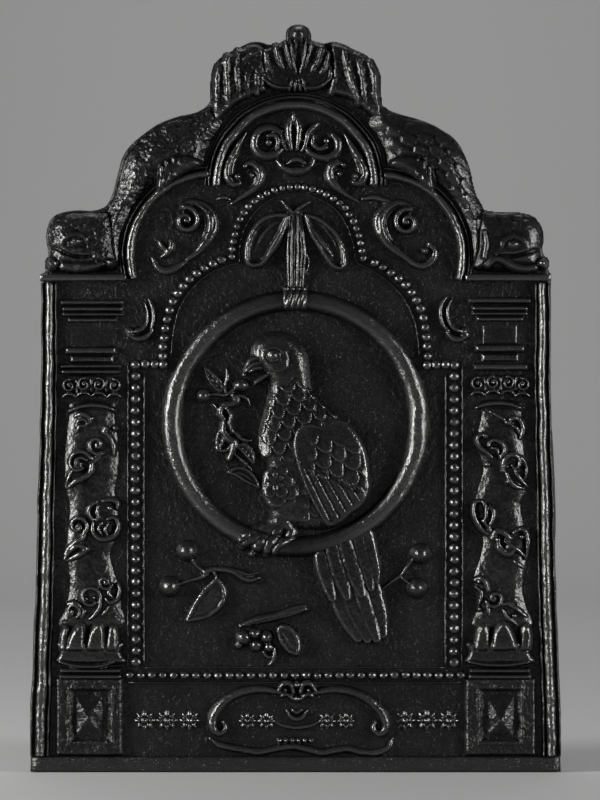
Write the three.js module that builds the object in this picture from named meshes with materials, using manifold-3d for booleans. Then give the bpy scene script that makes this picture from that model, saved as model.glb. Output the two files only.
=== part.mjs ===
// A cast-iron fireback in the seventeenth-century Dutch manner.
// A thick plate stands on its foot and carries all of its ornament on its flat front face.
// Millimetres, +Z up, front towards -Y; the origin lies under the middle of the foot.
import * as THREE from "three";
import Module from "manifold-3d";

const wasm = await Module();
wasm.setup();

// ---- Driving dimensions: the plate ----
const plateThickness = 24;
const footWidth = 531;
const plateTaper = 23;
const shoulderHeight = 491;
const footRailHeight = 16;
const footRailRise = 5;
const footRailInset = 2;
const edgeMouldingWidth = 14;
const edgeMouldingFootWidth = 18;
const edgeMouldingRise = 6.5;
const clearance = 0.3;

// ---- Driving dimensions: shoulders and arches ----
const corniceHeight = 7;
const corniceRise = 9;
const shoulderArchRadius = 84;
const shoulderArchWidth = 11;
const shoulderArchLift = 26;
const topArchRadius = 85;
const topArchWidth = 13;
const topArchDrop = 12.5;
const archRise = 7;
const shoulderArchSweep = [-17, 86];
const topArchSweep = [-2, 182];
const topArchSteps = 20;
const crestHalfWidth = 84;
const crestHeight = 159.5;
const crestOffset = 2.5;
const knobRadius = 12;
const knobRise = 13;
const shellRadius = 38;
const shellRise = 11;
const shellFlutes = 9;
const shellHubHeight = 103;
const tailRise = 10;
const dolphinRise = 13;
const finDrop = 0.7;
const headHeight = 63;
const headRise = 14;
const headBevel = 7;
const eyeRise = 3;
const eyeRadius = 6;
const browHalf = 3;
const scrollRise = 6;
const consoleRise = 8;

// ---- Driving dimensions: the bead border ----
const beadRadius = 4.5;
const beadPitch = 11.6;
const beadRise = 5;
const beadStripWidth = 15;
const beadStripRise = 1.2;
const beadFootHeight = 97;
const beadStepDrop = 83.5;
const beadNeckOffset = 132;
const beadWingRadius = 73;
const beadWingDrop = 51;
const beadWingEnd = 87;
const beadArchLift = 10;

// ---- Driving dimensions: hoop and bird ----
const hoopRadius = 123.5;
const hoopBarWidth = 21;
const hoopRise = 10;
const hoopCentreDrop = 142.5;
const birdRise = 12;
const wingRise = 15;
const toeRise = 3.5;
const tieRise = 3.5;
const tieOverhang = 1.5;
const bowHeight = 84;
const bowRise = 7;
const sprigRise = 5;
const cherryRise = 8;
const fruitLift = 16;

// ---- Driving dimensions: pilasters ----
const pilasterInset = 48.5;
const shaftWidth = 44;
const shaftRise = 8.5;
const shaftWaist = 0.9;
const shaftFoot = 141;
const entablatureHeight = 42;
const neckHeight = 52.5;
const capitalHeight = 36;
const capitalGround = 3.5;
const neckRing = 11;
const rosetteRise = 6;
const foliageRise = 4.5;
const foliageShares = [0.685, 0.419, 0.129];
const lobeRise = 12;
const pedestalWidth = 65;
const pedestalTop = 93;
const pedestalFoot = 18;
const pedestalRise = 5;
const pocketWidth = 38;
const pocketHeight = 49;
const pocketDepth = 3;
const bossWidth = 28;
const bossHeight = 43;
const bossRise = 7;
const pocketLift = 3;

// ---- Driving dimensions: the base panel ----
const cartoucheFoot = 20;
const cartoucheReach = 96;
const knotRise = 8;
const rosetteRadius = 10;
const rosetteMargin = 14;

// ---- Places worked out from them ----
const shoulderEdge = (footWidth - plateTaper) / 2;
const corniceTop = shoulderHeight + corniceHeight;
const shoulderArchZ = shoulderHeight + shoulderArchLift;
const shoulderArchOuter = shoulderArchRadius + shoulderArchWidth / 2;
const topArchZ = shoulderArchZ + shoulderArchRadius - topArchDrop;
const knobZ = topArchZ + crestHeight - knobRadius;
const pilasterAxis = shoulderEdge - pilasterInset;
const capitalTop = shoulderHeight - entablatureHeight - neckHeight;
const beadStepHeight = shoulderHeight - beadStepDrop;
const beadWingSpring = shoulderHeight - beadWingDrop;
const hoopCentreHeight = shoulderHeight - hoopCentreDrop;
const foliageHeights = foliageShares.map((share) => shaftFoot + share * (capitalTop - shaftFoot));
const beadColumnOffset = pilasterAxis - pedestalWidth / 2 - beadStripWidth / 2 - 6.5;
const columnRelief = shaftRise + foliageRise;
const deepestRelief = Math.max(headRise + eyeRise, wingRise, knobRise, hoopRise + toeRise, columnRelief);
const backY = (plateThickness + deepestRelief) / 2;
const faceY = backY - plateThickness;

// ---- Outlines that the plate shares with the dolphins ----

// Points of a dolphin's head: shares of its length in from the shoulder's edge, and of its height.
const headOutline = [[0, 0], [-0.075, 0.13], [-0.1, 0.27], [-0.07, 0.5], [-0.07, 0.68], [-0.16, 0.86],
  [-0.35, 0.96], [-0.6, 0.985], [-0.8, 1]];
const headForm = [[-0.05, 0.02], [-0.11, 0.22], [-0.09, 0.46], [-0.11, 0.68], [-0.22, 0.85], [-0.42, 0.92],
  [-0.65, 0.94], [-0.85, 0.89], [-0.95, 0.7], [-0.96, 0.4], [-0.88, 0.07], [-0.47, 0.03]];
// Points of its back: degrees round the shoulder arch's centre, and how far beyond that arch.
const dolphinBack = [[26, 20], [34, 26], [42, 33.5], [50, 41.5], [57, 48], [64, 50.5], [72, 52.5], [80, 54]];
const dolphinBody = [[12, 8, 8], [36, 13.5, 12.5], [50, 20.5, 19], [63, 25.5, 23.5], [75, 26.5, 24.5],
  [86, 29, 22], [91, 33, 13]];
// Points of the crest: shares of its half width, and heights above the top arch's centre.
const crestOutline = [[1.08, 78], [1.005, 86], [1, 100], [0.99, 113], [0.93, 122], [0.84, 129], [0.7, 135.5],
  [0.52, 141], [0.4, 142.5], [0.28, 141]];

const headLength = shoulderEdge - topArchRadius - shoulderArchOuter + 0.5;
const onHead = (points) => points.map(([u, v]) => {
  return [shoulderEdge + u * headLength, corniceTop + v * headHeight];
});

// ---- Solids from corners ----

// Makes a solid of corners and triangles, with its faces turned outwards.
function solid(corners, faces) {
  const normal = new THREE.Vector3();
  const signedVolume = faces.reduce((sum, [a, b, c]) => {
    return sum + corners[a].dot(normal.crossVectors(corners[b], corners[c]));
  }, 0);
  const outward = signedVolume < 0 ? faces.map(([a, b, c]) => [a, c, b]) : faces;
  const mesh = new wasm.Mesh({
    numProp: 3,
    vertProperties: new Float32Array(corners.flatMap((corner) => corner.toArray())),
    triVerts: new Uint32Array(outward.flat()),
  });
  return new wasm.Manifold(mesh);
}

// Skins a run of rings of equally many corners. A loop closes on itself, and any other run is capped.
function loft(rings, section, loop = false) {
  const count = section.length;
  const faces = [];
  const lastRing = loop ? rings.length : rings.length - 1;
  for (let ring = 0; ring < lastRing; ring += 1) {
    const here = ring * count;
    const there = ((ring + 1) % rings.length) * count;
    for (let point = 0; point < count; point += 1) {
      const next = (point + 1) % count;
      faces.push([here + point, here + next, there + next]);
      faces.push([here + point, there + next, there + point]);
    }
  }
  if (!loop) {
    const flat = section.map(([u, v]) => new THREE.Vector2(u, v));
    const last = (rings.length - 1) * count;
    const clockwise = THREE.ShapeUtils.isClockWise(flat);
    for (const triangle of THREE.ShapeUtils.triangulateShape(flat, [])) {
      const [a, b, c] = clockwise ? triangle.toReversed() : triangle;
      faces.push([a, c, b]);
      faces.push([last + a, last + b, last + c]);
    }
  }
  return solid(rings.flat(), faces);
}

const join = (...solids) => solids.reduce((whole, piece) => whole.add(piece));

const smooth = (points, steps) => {
  const spline = new THREE.CatmullRomCurve3(points.map((point) => new THREE.Vector3(...point)));
  return spline.getPoints(steps * (points.length - 1));
};

const polar = (x, z, radius, degrees) => {
  const angle = THREE.MathUtils.degToRad(degrees);
  return [x + radius * Math.cos(angle), z + radius * Math.sin(angle)];
};

// Moves a route of [x, z, half width] to a place on the plate.
const at = (x, z, route) => route.map(([u, v, half]) => [x + u, z + v, half]);

const bothSides = (pen, draw) => join(draw(pen), draw(pen.mirrored()));

// ---- The carver's pen ----

// Rounded sections of a rib: shares of its half width across, and of its rise.
const slimSection = [[-1, 0], [-0.6, 1], [0.6, 1], [1, 0]];
const broadSection = [[-1, 0], [-0.8, 0.6], [-0.35, 1], [0.35, 1], [0.8, 0.6], [1, 0]];
const broadRib = 8;
const domeRings = [[1, 0], [0.62, 1]];
const longRoute = 5;
const longOutline = 14;
const padRings = [[0, 0], [0, 0.5], [0.35, 0.85], [1, 1]];
const doubleRidge = [[-1, 0], [-0.8, 0.9], [-0.4, 1], [-0.05, 0.55], [0.3, 0.6], [0.55, 1], [0.9, 0.8],
  [1, 0]];
const edgeRidges = [[-1, 0], [-0.8, 0.5], [-0.4, 1], [0.1, 0.95], [0.44, 0.45], [0.68, 0.8], [1, 0.75],
  [1, 0]];

// A pen draws solids that stand on the plate's face, seen from the front: x across, z up, and a
// rise towards the viewer. Its side mirrors them, and its growth thickens them by a clearance.
function penFor(side, growth) {
  const corner = (x, z, rise) => new THREE.Vector3(side * x, -rise, z);

  const pen = {
    side,
    grow: growth,
    mirrored: () => penFor(-side, growth),

    // A rib along a spline through [x, z, half width]; a lift stands it on something that proud.
    rib(route, rise, lift = 0) {
      const widest = Math.max(...route.map((point) => point[2])) + growth;
      const profile = widest > broadRib ? broadSection : slimSection;
      const section = lift > 0
        ? [[-1, 0], ...profile.map(([u, v]) => [u, lift + v * rise + growth]), [1, 0]]
        : profile.map(([u, v]) => [u, v * (rise + growth)]);
      const points = smooth(route, route.length > longRoute ? 1 : 2);
      const rings = points.map((point, index) => {
        const before = points[Math.max(index - 1, 0)];
        const after = points[Math.min(index + 1, points.length - 1)];
        const along = new THREE.Vector2(after.x - before.x, after.y - before.y).normalize();
        const half = point.z + growth;
        const share = Math.sqrt(half / widest);
        return section.map(([u, v]) => {
          const height = v > lift ? lift + (v - lift) * share : v;
          return corner(point.x - along.y * half * u, point.y + along.x * half * u, height);
        });
      });
      return loft(rings, section);
    },

    // A domed button.
    button(x, z, radius, rise, lift = 0, sides = 7) {
      const rings = domeRings.map(([share, height]) => {
        return Array.from({ length: sides }, (_, index) => {
          const [u, v] = polar(x, z, (radius + growth) * share, (360 * index) / sides);
          return corner(u, v, height > 0 ? lift + height * rise + growth : 0);
        });
      });
      return loft(rings, rings[0].map((point) => [point.x, point.z]));
    },

    // A rectangular block from the face up.
    block(x0, x1, z0, z1, rise, from = 0) {
      const box = [[x0 - growth, z0 - growth], [x1 + growth, z0 - growth], [x1 + growth, z1 + growth],
        [x0 - growth, z1 + growth]];
      const levels = [from, rise + growth];
      return loft(levels.map((level) => box.map(([x, z]) => corner(x, z, level))), box);
    },

    // A four-sided point with a small flat top, through levels of [share of its size, rise].
    pyramid(x, z, width, height, levels) {
      const base = [[-1, -1], [1, -1], [1, 1], [-1, 1]];
      const rings = levels.map(([share, rise]) => base.map(([u, v]) => {
        return corner(x + u * (width / 2 * share + growth), z + v * (height / 2 * share + growth), rise);
      }));
      return loft(rings, base);
    },

    // A moulding whose section runs along stations of [centre point, direction across, width share].
    moulding(stations, section, width, rise) {
      const outline = section.map(([u, v]) => [u * (width / 2 + growth), v * (rise + growth)]);
      const rings = stations.map(([[x, z], [du, dv], share = 1]) => outline.map(([offset, height]) => {
        return corner(x + du * offset * share, z + dv * offset * share, height);
      }));
      return loft(rings, outline);
    },

    // An arch moulding round a centre, between two angles in degrees.
    arch(x, z, radius, from, to, section, width, rise, steps = 12) {
      const stations = Array.from({ length: steps + 1 }, (_, index) => {
        const degrees = from + ((to - from) * index) / steps;
        return [polar(x, z, radius, degrees), polar(0, 0, 1, degrees)];
      });
      return pen.moulding(stations, section, width, rise);
    },

    // A closed hoop with a rounded section.
    hoop(x, z, radius, width, rise, steps = 40) {
      const rings = Array.from({ length: steps }, (_, index) => {
        return broadSection.map(([u, v]) => {
          const reach = radius + u * (width / 2 + growth);
          const [px, pz] = polar(x, z, reach, (360 * index) / steps);
          return corner(px, pz, v * (rise + growth));
        });
      });
      return loft(rings, broadSection, true);
    },

    // A cushion-like form inside a smooth closed outline, rounded over its edge by a bevel.
    form(points, rise, bevel) {
      const steps = points.length > longOutline ? 1 : 2;
      const closed = new THREE.CatmullRomCurve3(points.map(([x, z]) => new THREE.Vector3(x, z, 0)), true);
      const outline = closed.getPoints(steps * points.length).slice(0, -1);
      const turn = Math.sign(THREE.ShapeUtils.area(outline));
      const inward = outline.map((_, index) => {
        const before = outline.at(index - 1);
        const after = outline[(index + 1) % outline.length];
        return new THREE.Vector2(before.y - after.y, after.x - before.x).normalize().multiplyScalar(turn);
      });
      const rings = padRings.map(([share, height]) => outline.map((point, index) => {
        const inset = share * bevel - growth;
        const x = point.x + inward[index].x * inset;
        const z = point.y + inward[index].y * inset;
        return corner(x, z, height * (rise + growth));
      }));
      return loft(rings, outline.map((point) => [point.x, point.y]));
    },
  };
  return pen;
}

// A string of beads: thin strips under its stretches, and buttons at even steps along its line.
function beadString(pen, stretches, line) {
  const flatStrip = [[-1, 0], [-1, 1], [1, 1], [1, 0]];
  const strips = stretches.map((points) => {
    const stations = points.map((point, index) => {
      const before = points[Math.max(index - 1, 0)];
      const after = points[Math.min(index + 1, points.length - 1)];
      const along = new THREE.Vector2(after[0] - before[0], after[1] - before[1]).normalize();
      return [point, [-along.y, along.x]];
    });
    return pen.moulding(stations, flatStrip, beadStripWidth, beadStripRise);
  });
  const path = new THREE.Path().setFromPoints(line.map(([x, z]) => new THREE.Vector2(x, z)));
  const places = path.getSpacedPoints(Math.round(path.getLength() / beadPitch));
  const beads = places.map(({ x, y }) => pen.button(x, y, beadRadius, beadRise, beadStripRise, 5));
  return join(...strips, ...beads);
}

// ---- The plate and its border ----

// Right half of the plate's outline, from the foot up to the knob.
function outlineHalf() {
  const back = dolphinBack.map(([degrees, beyond]) => {
    return polar(topArchRadius, shoulderArchZ, shoulderArchOuter + beyond, degrees);
  });
  const crest = crestOutline.map(([share, above]) => [share * crestHalfWidth, topArchZ + above]);
  const smoothed = (points) => smooth(points.map(([x, z]) => [x, z, 0]), 2).map(({ x, y }) => [x, y]);
  return [[footWidth / 2, 0], [shoulderEdge, shoulderHeight], ...smoothed(onHead(headOutline)),
    ...smoothed([...back, ...crest])];
}

function backPlate() {
  const right = outlineHalf();
  const knob = [-30, 10, 50, 90, 130, 170, 210].map((degrees) => {
    return polar(crestOffset, knobZ, knobRadius, degrees);
  });
  const left = right.map(([x, z]) => [-x, z]).reverse();
  const outline = [...right, ...knob, ...left];
  const depths = [-plateThickness, 0];
  const rings = depths.map((depth) => outline.map(([x, z]) => new THREE.Vector3(x, -depth, z)));
  return loft(rings, outline);
}

function edgeMoulding(pen) {
  const station = (edge, width, z) => [[edge - width / 2, z], [1, 0], width / edgeMouldingWidth];
  const edgeAt = (z) => (footWidth - plateTaper * (z / shoulderHeight)) / 2;
  const stations = [
    station(edgeAt(footRailHeight), edgeMouldingFootWidth, footRailHeight),
    station(edgeAt(shoulderHeight), edgeMouldingWidth, shoulderHeight),
  ];
  return pen.moulding(stations, edgeRidges, edgeMouldingWidth, edgeMouldingRise);
}

function footRail(pen) {
  const half = footWidth / 2 - footRailInset;
  return pen.block(-half, half, 0, footRailHeight, footRailRise);
}

// ---- Shoulders and arches ----

function cornice(pen) {
  const footDrop = shoulderArchLift - corniceHeight / 2;
  const inner = topArchRadius + Math.sqrt(shoulderArchOuter ** 2 - footDrop ** 2);
  return pen.block(inner, shoulderEdge, shoulderHeight, corniceTop, corniceRise);
}

function shoulderArch(pen) {
  const [from, to] = shoulderArchSweep;
  return pen.arch(topArchRadius, shoulderArchZ, shoulderArchRadius, from, to, doubleRidge, shoulderArchWidth,
    archRise);
}

function topArch(pen) {
  const [from, to] = topArchSweep;
  return pen.arch(0, topArchZ, topArchRadius, from, to, doubleRidge, topArchWidth, archRise, topArchSteps);
}

function dolphin(pen) {
  const along = (points) => points.map(([degrees, beyond, half]) => {
    return [...polar(topArchRadius, shoulderArchZ, shoulderArchOuter + beyond, degrees), half];
  });
  const body = pen.rib(along(dolphinBody), dolphinRise);
  const fin = pen.rib(along([[50, 6, 3], [60, 10, 8], [72, 11, 9], [79, 9, 6]]), dolphinRise - finDrop);
  const head = pen.form(onHead(headForm), headRise, headBevel);
  const [eye] = onHead([[-0.47, 0.46]]);
  const [jaw] = onHead([[-0.1, 0.12]]);
  const browRoute = onHead([[-0.7, 0.56], [-0.5, 0.66], [-0.28, 0.56]]).map((point) => [...point, browHalf]);
  const brow = pen.rib(browRoute, eyeRise, headRise);
  const eyeball = pen.button(...eye, eyeRadius, eyeRise, headRise);
  return join(body, fin, head, brow, eyeball, pen.button(...jaw, eyeRadius, headRise - eyeRise));
}

function tailFin(pen) {
  const folds = [[0.9, 84, 110], [0.77, 76, 122], [0.64, 80, 129], [0.51, 86, 134]];
  const ribs = folds.map(([share, low, high]) => {
    const x = share * crestHalfWidth;
    const route = [[x, low, 6], [x, (low + high) / 2, 7], [x - 3, high, 5]];
    return pen.rib(at(0, topArchZ, route), tailRise);
  });
  return join(...ribs);
}

function crestShell(pen) {
  const hub = topArchZ + shellHubHeight;
  const flutes = Array.from({ length: shellFlutes }, (_, index) => {
    const degrees = 8 + (164 * index) / (shellFlutes - 1);
    const stops = [[0.12, 2.5], [0.55, 5], [0.9, 7.5]].map(([share, half]) => {
      return [...polar(crestOffset, hub, shellRadius * share, degrees), half];
    });
    return pen.rib(stops, shellRise);
  });
  const neck = [[knobZ, 6], [knobZ - 16, 5], [hub + 4, 5]].map(([z, half]) => [crestOffset, z, half]);
  const tie = [[-20, -4, 4], [0, -7, 5], [20, -4, 4]].map(([x, z, half]) => [crestOffset + x, hub + z, half]);
  return join(...flutes, pen.rib(neck, knobRise), pen.rib(tie, shellRise),
    pen.button(crestOffset, knobZ, knobRadius * 0.95, knobRise));
}

// ---- Scrolls between the arches ----

function palmette(pen) {
  const half = (hand) => join(
    hand.rib(at(0, topArchZ, [[2, 34, 3], [8, 46, 4], [13, 58, 2]]), scrollRise),
    hand.rib(at(0, topArchZ, [[25, 43, 3], [31, 46, 3], [35, 39, 3.5], [27, 30, 4], [16, 34, 4], [13, 46, 4],
      [19, 56, 2.5]]), scrollRise),
    hand.rib(at(0, topArchZ, [[0, 19, 3], [8, 17, 4], [17, 23, 2]]), scrollRise),
  );
  const spine = at(0, topArchZ, [[0, 12, 3], [0, 22, 2], [0, 34, 4], [0, 50, 5], [0, 63, 2]]);
  return join(bothSides(pen, half), pen.rib(spine, scrollRise));
}

const tympanumScroll = (pen) => join(
  pen.rib(at(0, topArchZ, [[49, 48, 2], [58, 32, 3], [66, 15, 4.5], [62, 6, 4.5], [55, 8, 4]]), scrollRise),
  pen.rib(at(0, topArchZ, [[60, 27, 2], [50, 20, 3], [41, 19, 3.5], [36, 11, 4], [40, 2, 3.5],
    [48, -4, 2]]), scrollRise),
);

const shoulderScroll = (pen) => join(
  pen.rib(at(topArchRadius, shoulderArchZ, [[27, 29, 3], [33, 37, 3.5], [25, 46, 4], [11, 47, 4.5],
    [1, 34, 5], [4, 17, 5], [19, 1, 4.5], [35, -10, 3.5], [49, -12, 3], [56, -2, 3],
    [49, 8, 3]]), scrollRise),
  pen.button(topArchRadius + 45, shoulderArchZ + 8, 6, scrollRise),
);

const consoleLeaf = (pen) => join(
  pen.rib(at(topArchRadius + shoulderArchRadius, shoulderHeight, [[-19, -17, 2], [-23, -31, 4.5],
    [-22, -44, 5.5], [-12, -54, 6], [-3, -50, 5]]), consoleRise),
  pen.button(topArchRadius + shoulderArchRadius - 2, shoulderHeight - 49, 5.5, consoleRise),
);

// ---- The bead border ----

function beadCanopy(pen) {
  const wingX = beadNeckOffset - beadWingRadius;
  const arc = (x, z, radius, from, to, steps) => Array.from({ length: steps + 1 }, (_, index) => {
    return polar(x, z, radius, from + ((to - from) * index) / steps);
  });
  const wing = arc(wingX, beadWingSpring, beadWingRadius, 0, beadWingEnd, 6);
  const [cuspX, cuspZ] = wing.at(-1);
  const tilt = THREE.MathUtils.radToDeg(Math.atan2(beadArchLift, cuspX));
  const arch = arc(0, cuspZ + beadArchLift, Math.hypot(cuspX, beadArchLift), -tilt, 180 + tilt, 16);
  const neckFoot = beadStepHeight + beadStripWidth / 2 + clearance;
  const neck = [[beadNeckOffset, neckFoot], [beadNeckOffset, beadWingSpring]];
  const flip = (points) => points.map(([x, z]) => [-x, z]).reverse();
  const stretches = [neck, wing, arch, flip(wing), flip(neck)];
  const line = [[beadNeckOffset, neckFoot + beadRadius], ...wing, ...arch.slice(1, -1), ...flip(wing),
    [-beadNeckOffset, neckFoot + beadRadius]];
  return beadString(pen, stretches, line);
}

function beadColumn(pen) {
  const half = beadStripWidth / 2;
  const foot = beadFootHeight + half + clearance;
  const column = [[beadColumnOffset, foot], [beadColumnOffset, beadStepHeight + half]];
  const step = [[beadColumnOffset, beadStepHeight], [beadNeckOffset - half, beadStepHeight]];
  const line = [[beadColumnOffset, foot + beadRadius], [beadColumnOffset, beadStepHeight],
    [beadNeckOffset, beadStepHeight]];
  return beadString(pen, [column, step], line);
}

function beadRow(pen) {
  const reach = beadColumnOffset + beadStripWidth / 2;
  const row = [[-reach, beadFootHeight], [reach, beadFootHeight]];
  return beadString(pen, [row], row.map(([x, z]) => [x - Math.sign(x) * beadRadius, z]));
}

// ---- The panel: bow, hoop and bird ----

const hoop = (pen) => pen.hoop(0, hoopCentreHeight, hoopRadius, hoopBarWidth, hoopRise);

const bowKnot = hoopCentreHeight + hoopRadius + bowHeight;

function ribbonBow(pen) {
  const half = (hand) => join(
    hand.rib(at(0, bowKnot, [[2, 1, 4], [20, -12, 9], [34, -28, 13], [42, -41, 10], [45, -49, 3]]), bowRise),
    hand.rib(at(0, bowKnot, [[0, 0, 3], [8, 8, 3], [16, 15, 2]]), bowRise),
  );
  const tailEnd = -bowHeight + hoopBarWidth / 2 + tieOverhang + 1;
  const tails = at(0, bowKnot, [[0, 2, 5], [-1, -35, 8], [0, tailEnd, 9]]);
  return join(bothSides(pen, half), pen.rib(tails, bowRise));
}

function ribbonTie(pen) {
  const reach = hoopBarWidth / 2 + tieOverhang;
  const top = hoopCentreHeight + hoopRadius;
  return pen.rib([[0, top - reach, 11], [0, top, 11.5], [0, top + reach, 11]], tieRise, hoopRise);
}

// The bird is drawn round the hoop's centre and takes its scale from the hoop that it sits in.
const birdScale = (hoopRadius - hoopBarWidth / 2) / 113;
const inHoop = (points) => points.map(([x, z, half]) => {
  return [x * birdScale, hoopCentreHeight + z * birdScale, (half ?? 0) * birdScale];
});

function parrotBody(pen) {
  const outline = [[-45, 68], [-42, 81], [-31, 90], [-15, 92], [-1, 86], [8, 75], [13, 61], [14, 47],
    [17, 34], [27, 23], [42, 10], [57, -6], [62, -14], [42, -26], [25, -48], [17, -72], [30, -106],
    [8, -109], [-8, -103], [-20, -96], [-29, -88], [-34, -70], [-34, -50], [-39, -34], [-40, -18],
    [-37, -2], [-32, 18], [-28, 36], [-31, 49], [-39, 56]];
  return join(
    pen.form(inHoop(outline), birdRise, 7 * birdScale),
    pen.rib(inHoop([[-36, 73, 9], [-47, 63, 7], [-52, 51, 2.5]]), birdRise),
    pen.rib(inHoop([[-28, 53, 5], [-38, 46, 3]]), birdRise),
    pen.button(...inHoop([[-22, 68]])[0].slice(0, 2), 5 * birdScale, eyeRise, birdRise),
  );
}

function parrotWing(pen) {
  const outline = [[-2, -14], [3, -3], [14, 0], [28, -4], [45, -10], [60, -18], [69, -32], [71, -50],
    [74, -66], [71, -78], [63, -87], [50, -95], [32, -103], [21, -87], [10, -64], [1, -44], [-2, -28]];
  return pen.form(inHoop(outline), wingRise, 8 * birdScale);
}

function parrotTail(pen) {
  const outline = [[18, -126], [32, -174], [48, -206], [58, -217], [70, -213], [82, -216], [91, -198],
    [86, -164], [78, -137], [75, -103], [50, -116]];
  return pen.form(inHoop(outline), birdRise, 7 * birdScale);
}

function parrotFeet(pen) {
  const toes = [
    [[-20, -95, 5], [-30, -108, 5.5], [-41, -121, 5.5], [-52, -133, 3.5]],
    [[-34, -112, 5], [-46, -116, 5], [-57, -121, 3]],
    [[-33, -112, 5], [-37, -124, 5.5], [-40, -138, 3.5]],
    [[-14, -98, 5], [-20, -112, 5.5], [-25, -126, 5.5], [-27, -138, 3.5]],
    [[-18, -112, 5], [-14, -124, 5], [-12, -136, 3]],
  ];
  const bridge = [[-34, -113, 4], [-20, -112, 4]];
  return join(...[...toes, bridge].map((route) => pen.rib(inHoop(route), toeRise, hoopRise)));
}

function cherryBranch(pen) {
  const ribs = [
    [[-90, 28, 2], [-80, 30, 2], [-70, 29, 2.5], [-60, 35, 2.5]],
    [[-71, 30, 2], [-82, 44, 5.5], [-91, 56, 2]],
    [[-71, 30, 2], [-73, 43, 4.5], [-76, 54, 2]],
    [[-70, 29, 3], [-63, 24, 3.5], [-72, 17, 4.5], [-75, 8, 5], [-70, -2, 4.5], [-61, -10, 4.5],
      [-60, -20, 5], [-65, -31, 5.5], [-60, -41, 4], [-56, -50, 4]],
    [[-64, -11, 3], [-74, -14, 4.5], [-80, -26, 2]],
    [[-69, -47, 2], [-57, -48, 6.5], [-45, -54, 5.5], [-36, -64, 2]],
  ];
  const cherries = inHoop([[-92, 28, 7.5], [-54, 38, 8.5]]);
  return join(...ribs.map((route) => pen.rib(inHoop(route), sprigRise)),
    ...cherries.map(([x, z, radius]) => pen.button(x, z, radius, cherryRise)));
}

// ---- Sprigs and fruit below the hoop ----

const sprigFloor = hoopCentreHeight - hoopRadius;

function sprig(pen, height, ribs, cherries = []) {
  return join(...ribs.map((route) => pen.rib(at(0, height, route), sprigRise)),
    ...at(0, height, cherries).map(([x, z, radius]) => pen.button(x, z, radius, cherryRise)));
}

const cherrySprigLeft = (pen) => sprig(pen, sprigFloor, [
  [[-107, -6, 3], [-99, -18, 2.5], [-88, -25, 3], [-74, -24, 3], [-60, -26, 4], [-46, -31, 4.5],
    [-38, -29, 2]],
  [[-124, -39, 3], [-106, -33, 2.5], [-88, -25, 3]],
  [[-86, -26, 3], [-79, -34, 6], [-82, -52, 10.5], [-93, -68, 8], [-107, -75, 2]],
], [[-107, -4, 10], [-125, -40, 10]]);

const cherrySprigRight = (pen) => sprig(pen, sprigFloor, [
  [[89, -41, 2.5], [105, -28, 2.5], [114, -16, 2.5], [122, -6, 3]],
  [[104, -29, 2.5], [112, -36, 2.5], [121, -41, 3]],
], [[124, -6, 10], [121, -41, 10]]);

const fruitOrnament = (pen) => sprig(pen, beadFootHeight + fruitLift, [
  [[-53, 35, 3], [-20, 43, 4], [12, 50, 3]],
  [[-38, 27, 3], [-32, 40, 3]],
  [[-61, 18, 4], [-48, 20, 12], [-34, 19, 12], [-22, 22, 5]],
  [[-11, 43, 4], [-8, 26, 9], [-3, 10, 6], [1, 4, 2]],
  [[-24, 20, 4], [-20, 7, 3.5], [-25, 0, 3]],
]);

// ---- Pilasters, drawn round their own axis ----

const onAxis = (route) => at(pilasterAxis, 0, route);

const stack = (pen, steps) => join(...steps.map(([half, low, high, rise]) => {
  return pen.block(pilasterAxis - half, pilasterAxis + half, low, high, rise);
}));

const entablature = (pen) => stack(pen, [
  [32, shoulderHeight - 25, shoulderHeight - 19, 8],
  [30, shoulderHeight - 34, shoulderHeight - 25, 6.5],
  [25, shoulderHeight - entablatureHeight, shoulderHeight - 34, 5],
]);

const columnNeck = (pen) => stack(pen, [
  [17, capitalTop + clearance, capitalTop + neckHeight - clearance, 3],
  [25.5, capitalTop + 20.5, capitalTop + 28.5, 5.5],
  [30.5, capitalTop + clearance, capitalTop + 11, 7],
]);

function capital(pen) {
  const base = capitalTop - capitalHeight + neckRing;
  const rosettes = [-22.5, -7.5, 7.5, 22.5].map((x) => {
    return pen.button(pilasterAxis + x, capitalTop - 10, 6.5, rosetteRise, capitalGround);
  });
  const swags = [-15, 0, 15].map((x) => {
    const route = onAxis([[x - 7, base + 8, 2], [x, base + 3, 2.5], [x + 7, base + 8, 2]]);
    return pen.rib(route, rosetteRise / 2, capitalGround);
  });
  return join(stack(pen, [[28, base, capitalTop, capitalGround]]), ...rosettes, ...swags);
}

function columnShaft(pen) {
  const top = capitalTop - capitalHeight + neckRing - clearance;
  const half = shaftWidth / 2;
  const waist = (top + shaftFoot) / 2;
  const shaft = onAxis([[0, top, half], [0, waist, half * shaftWaist], [0, shaftFoot, half]]);
  const astragal = onAxis([[-half, top - 2, 3], [0, top - 8, 3.5], [half, top - 2, 3]]);
  return join(pen.rib(shaft, shaftRise), pen.rib(astragal, foliageRise, shaftRise / 2));
}

const foliage = (pen, height, ribs, eyes) => join(
  ...ribs.map((route) => pen.rib(at(pilasterAxis, height, route), foliageRise, shaftRise)),
  ...at(pilasterAxis, height, eyes).map(([x, z, radius]) => pen.button(x, z, radius, foliageRise, shaftRise)),
);

const foliageTop = (pen) => foliage(pen, foliageHeights[0], [
  [[-26, 27, 4], [-14, 25, 4], [-2, 20, 4.5], [8, 12, 5], [17, 3, 5.5], [20, -8, 5.5], [22, -20, 4.5],
    [26, -33, 2]],
  [[12, 37, 2], [7, 29, 5], [1, 19, 4]],
], [[-5, 12, 7], [9, -9, 9]]);

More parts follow.
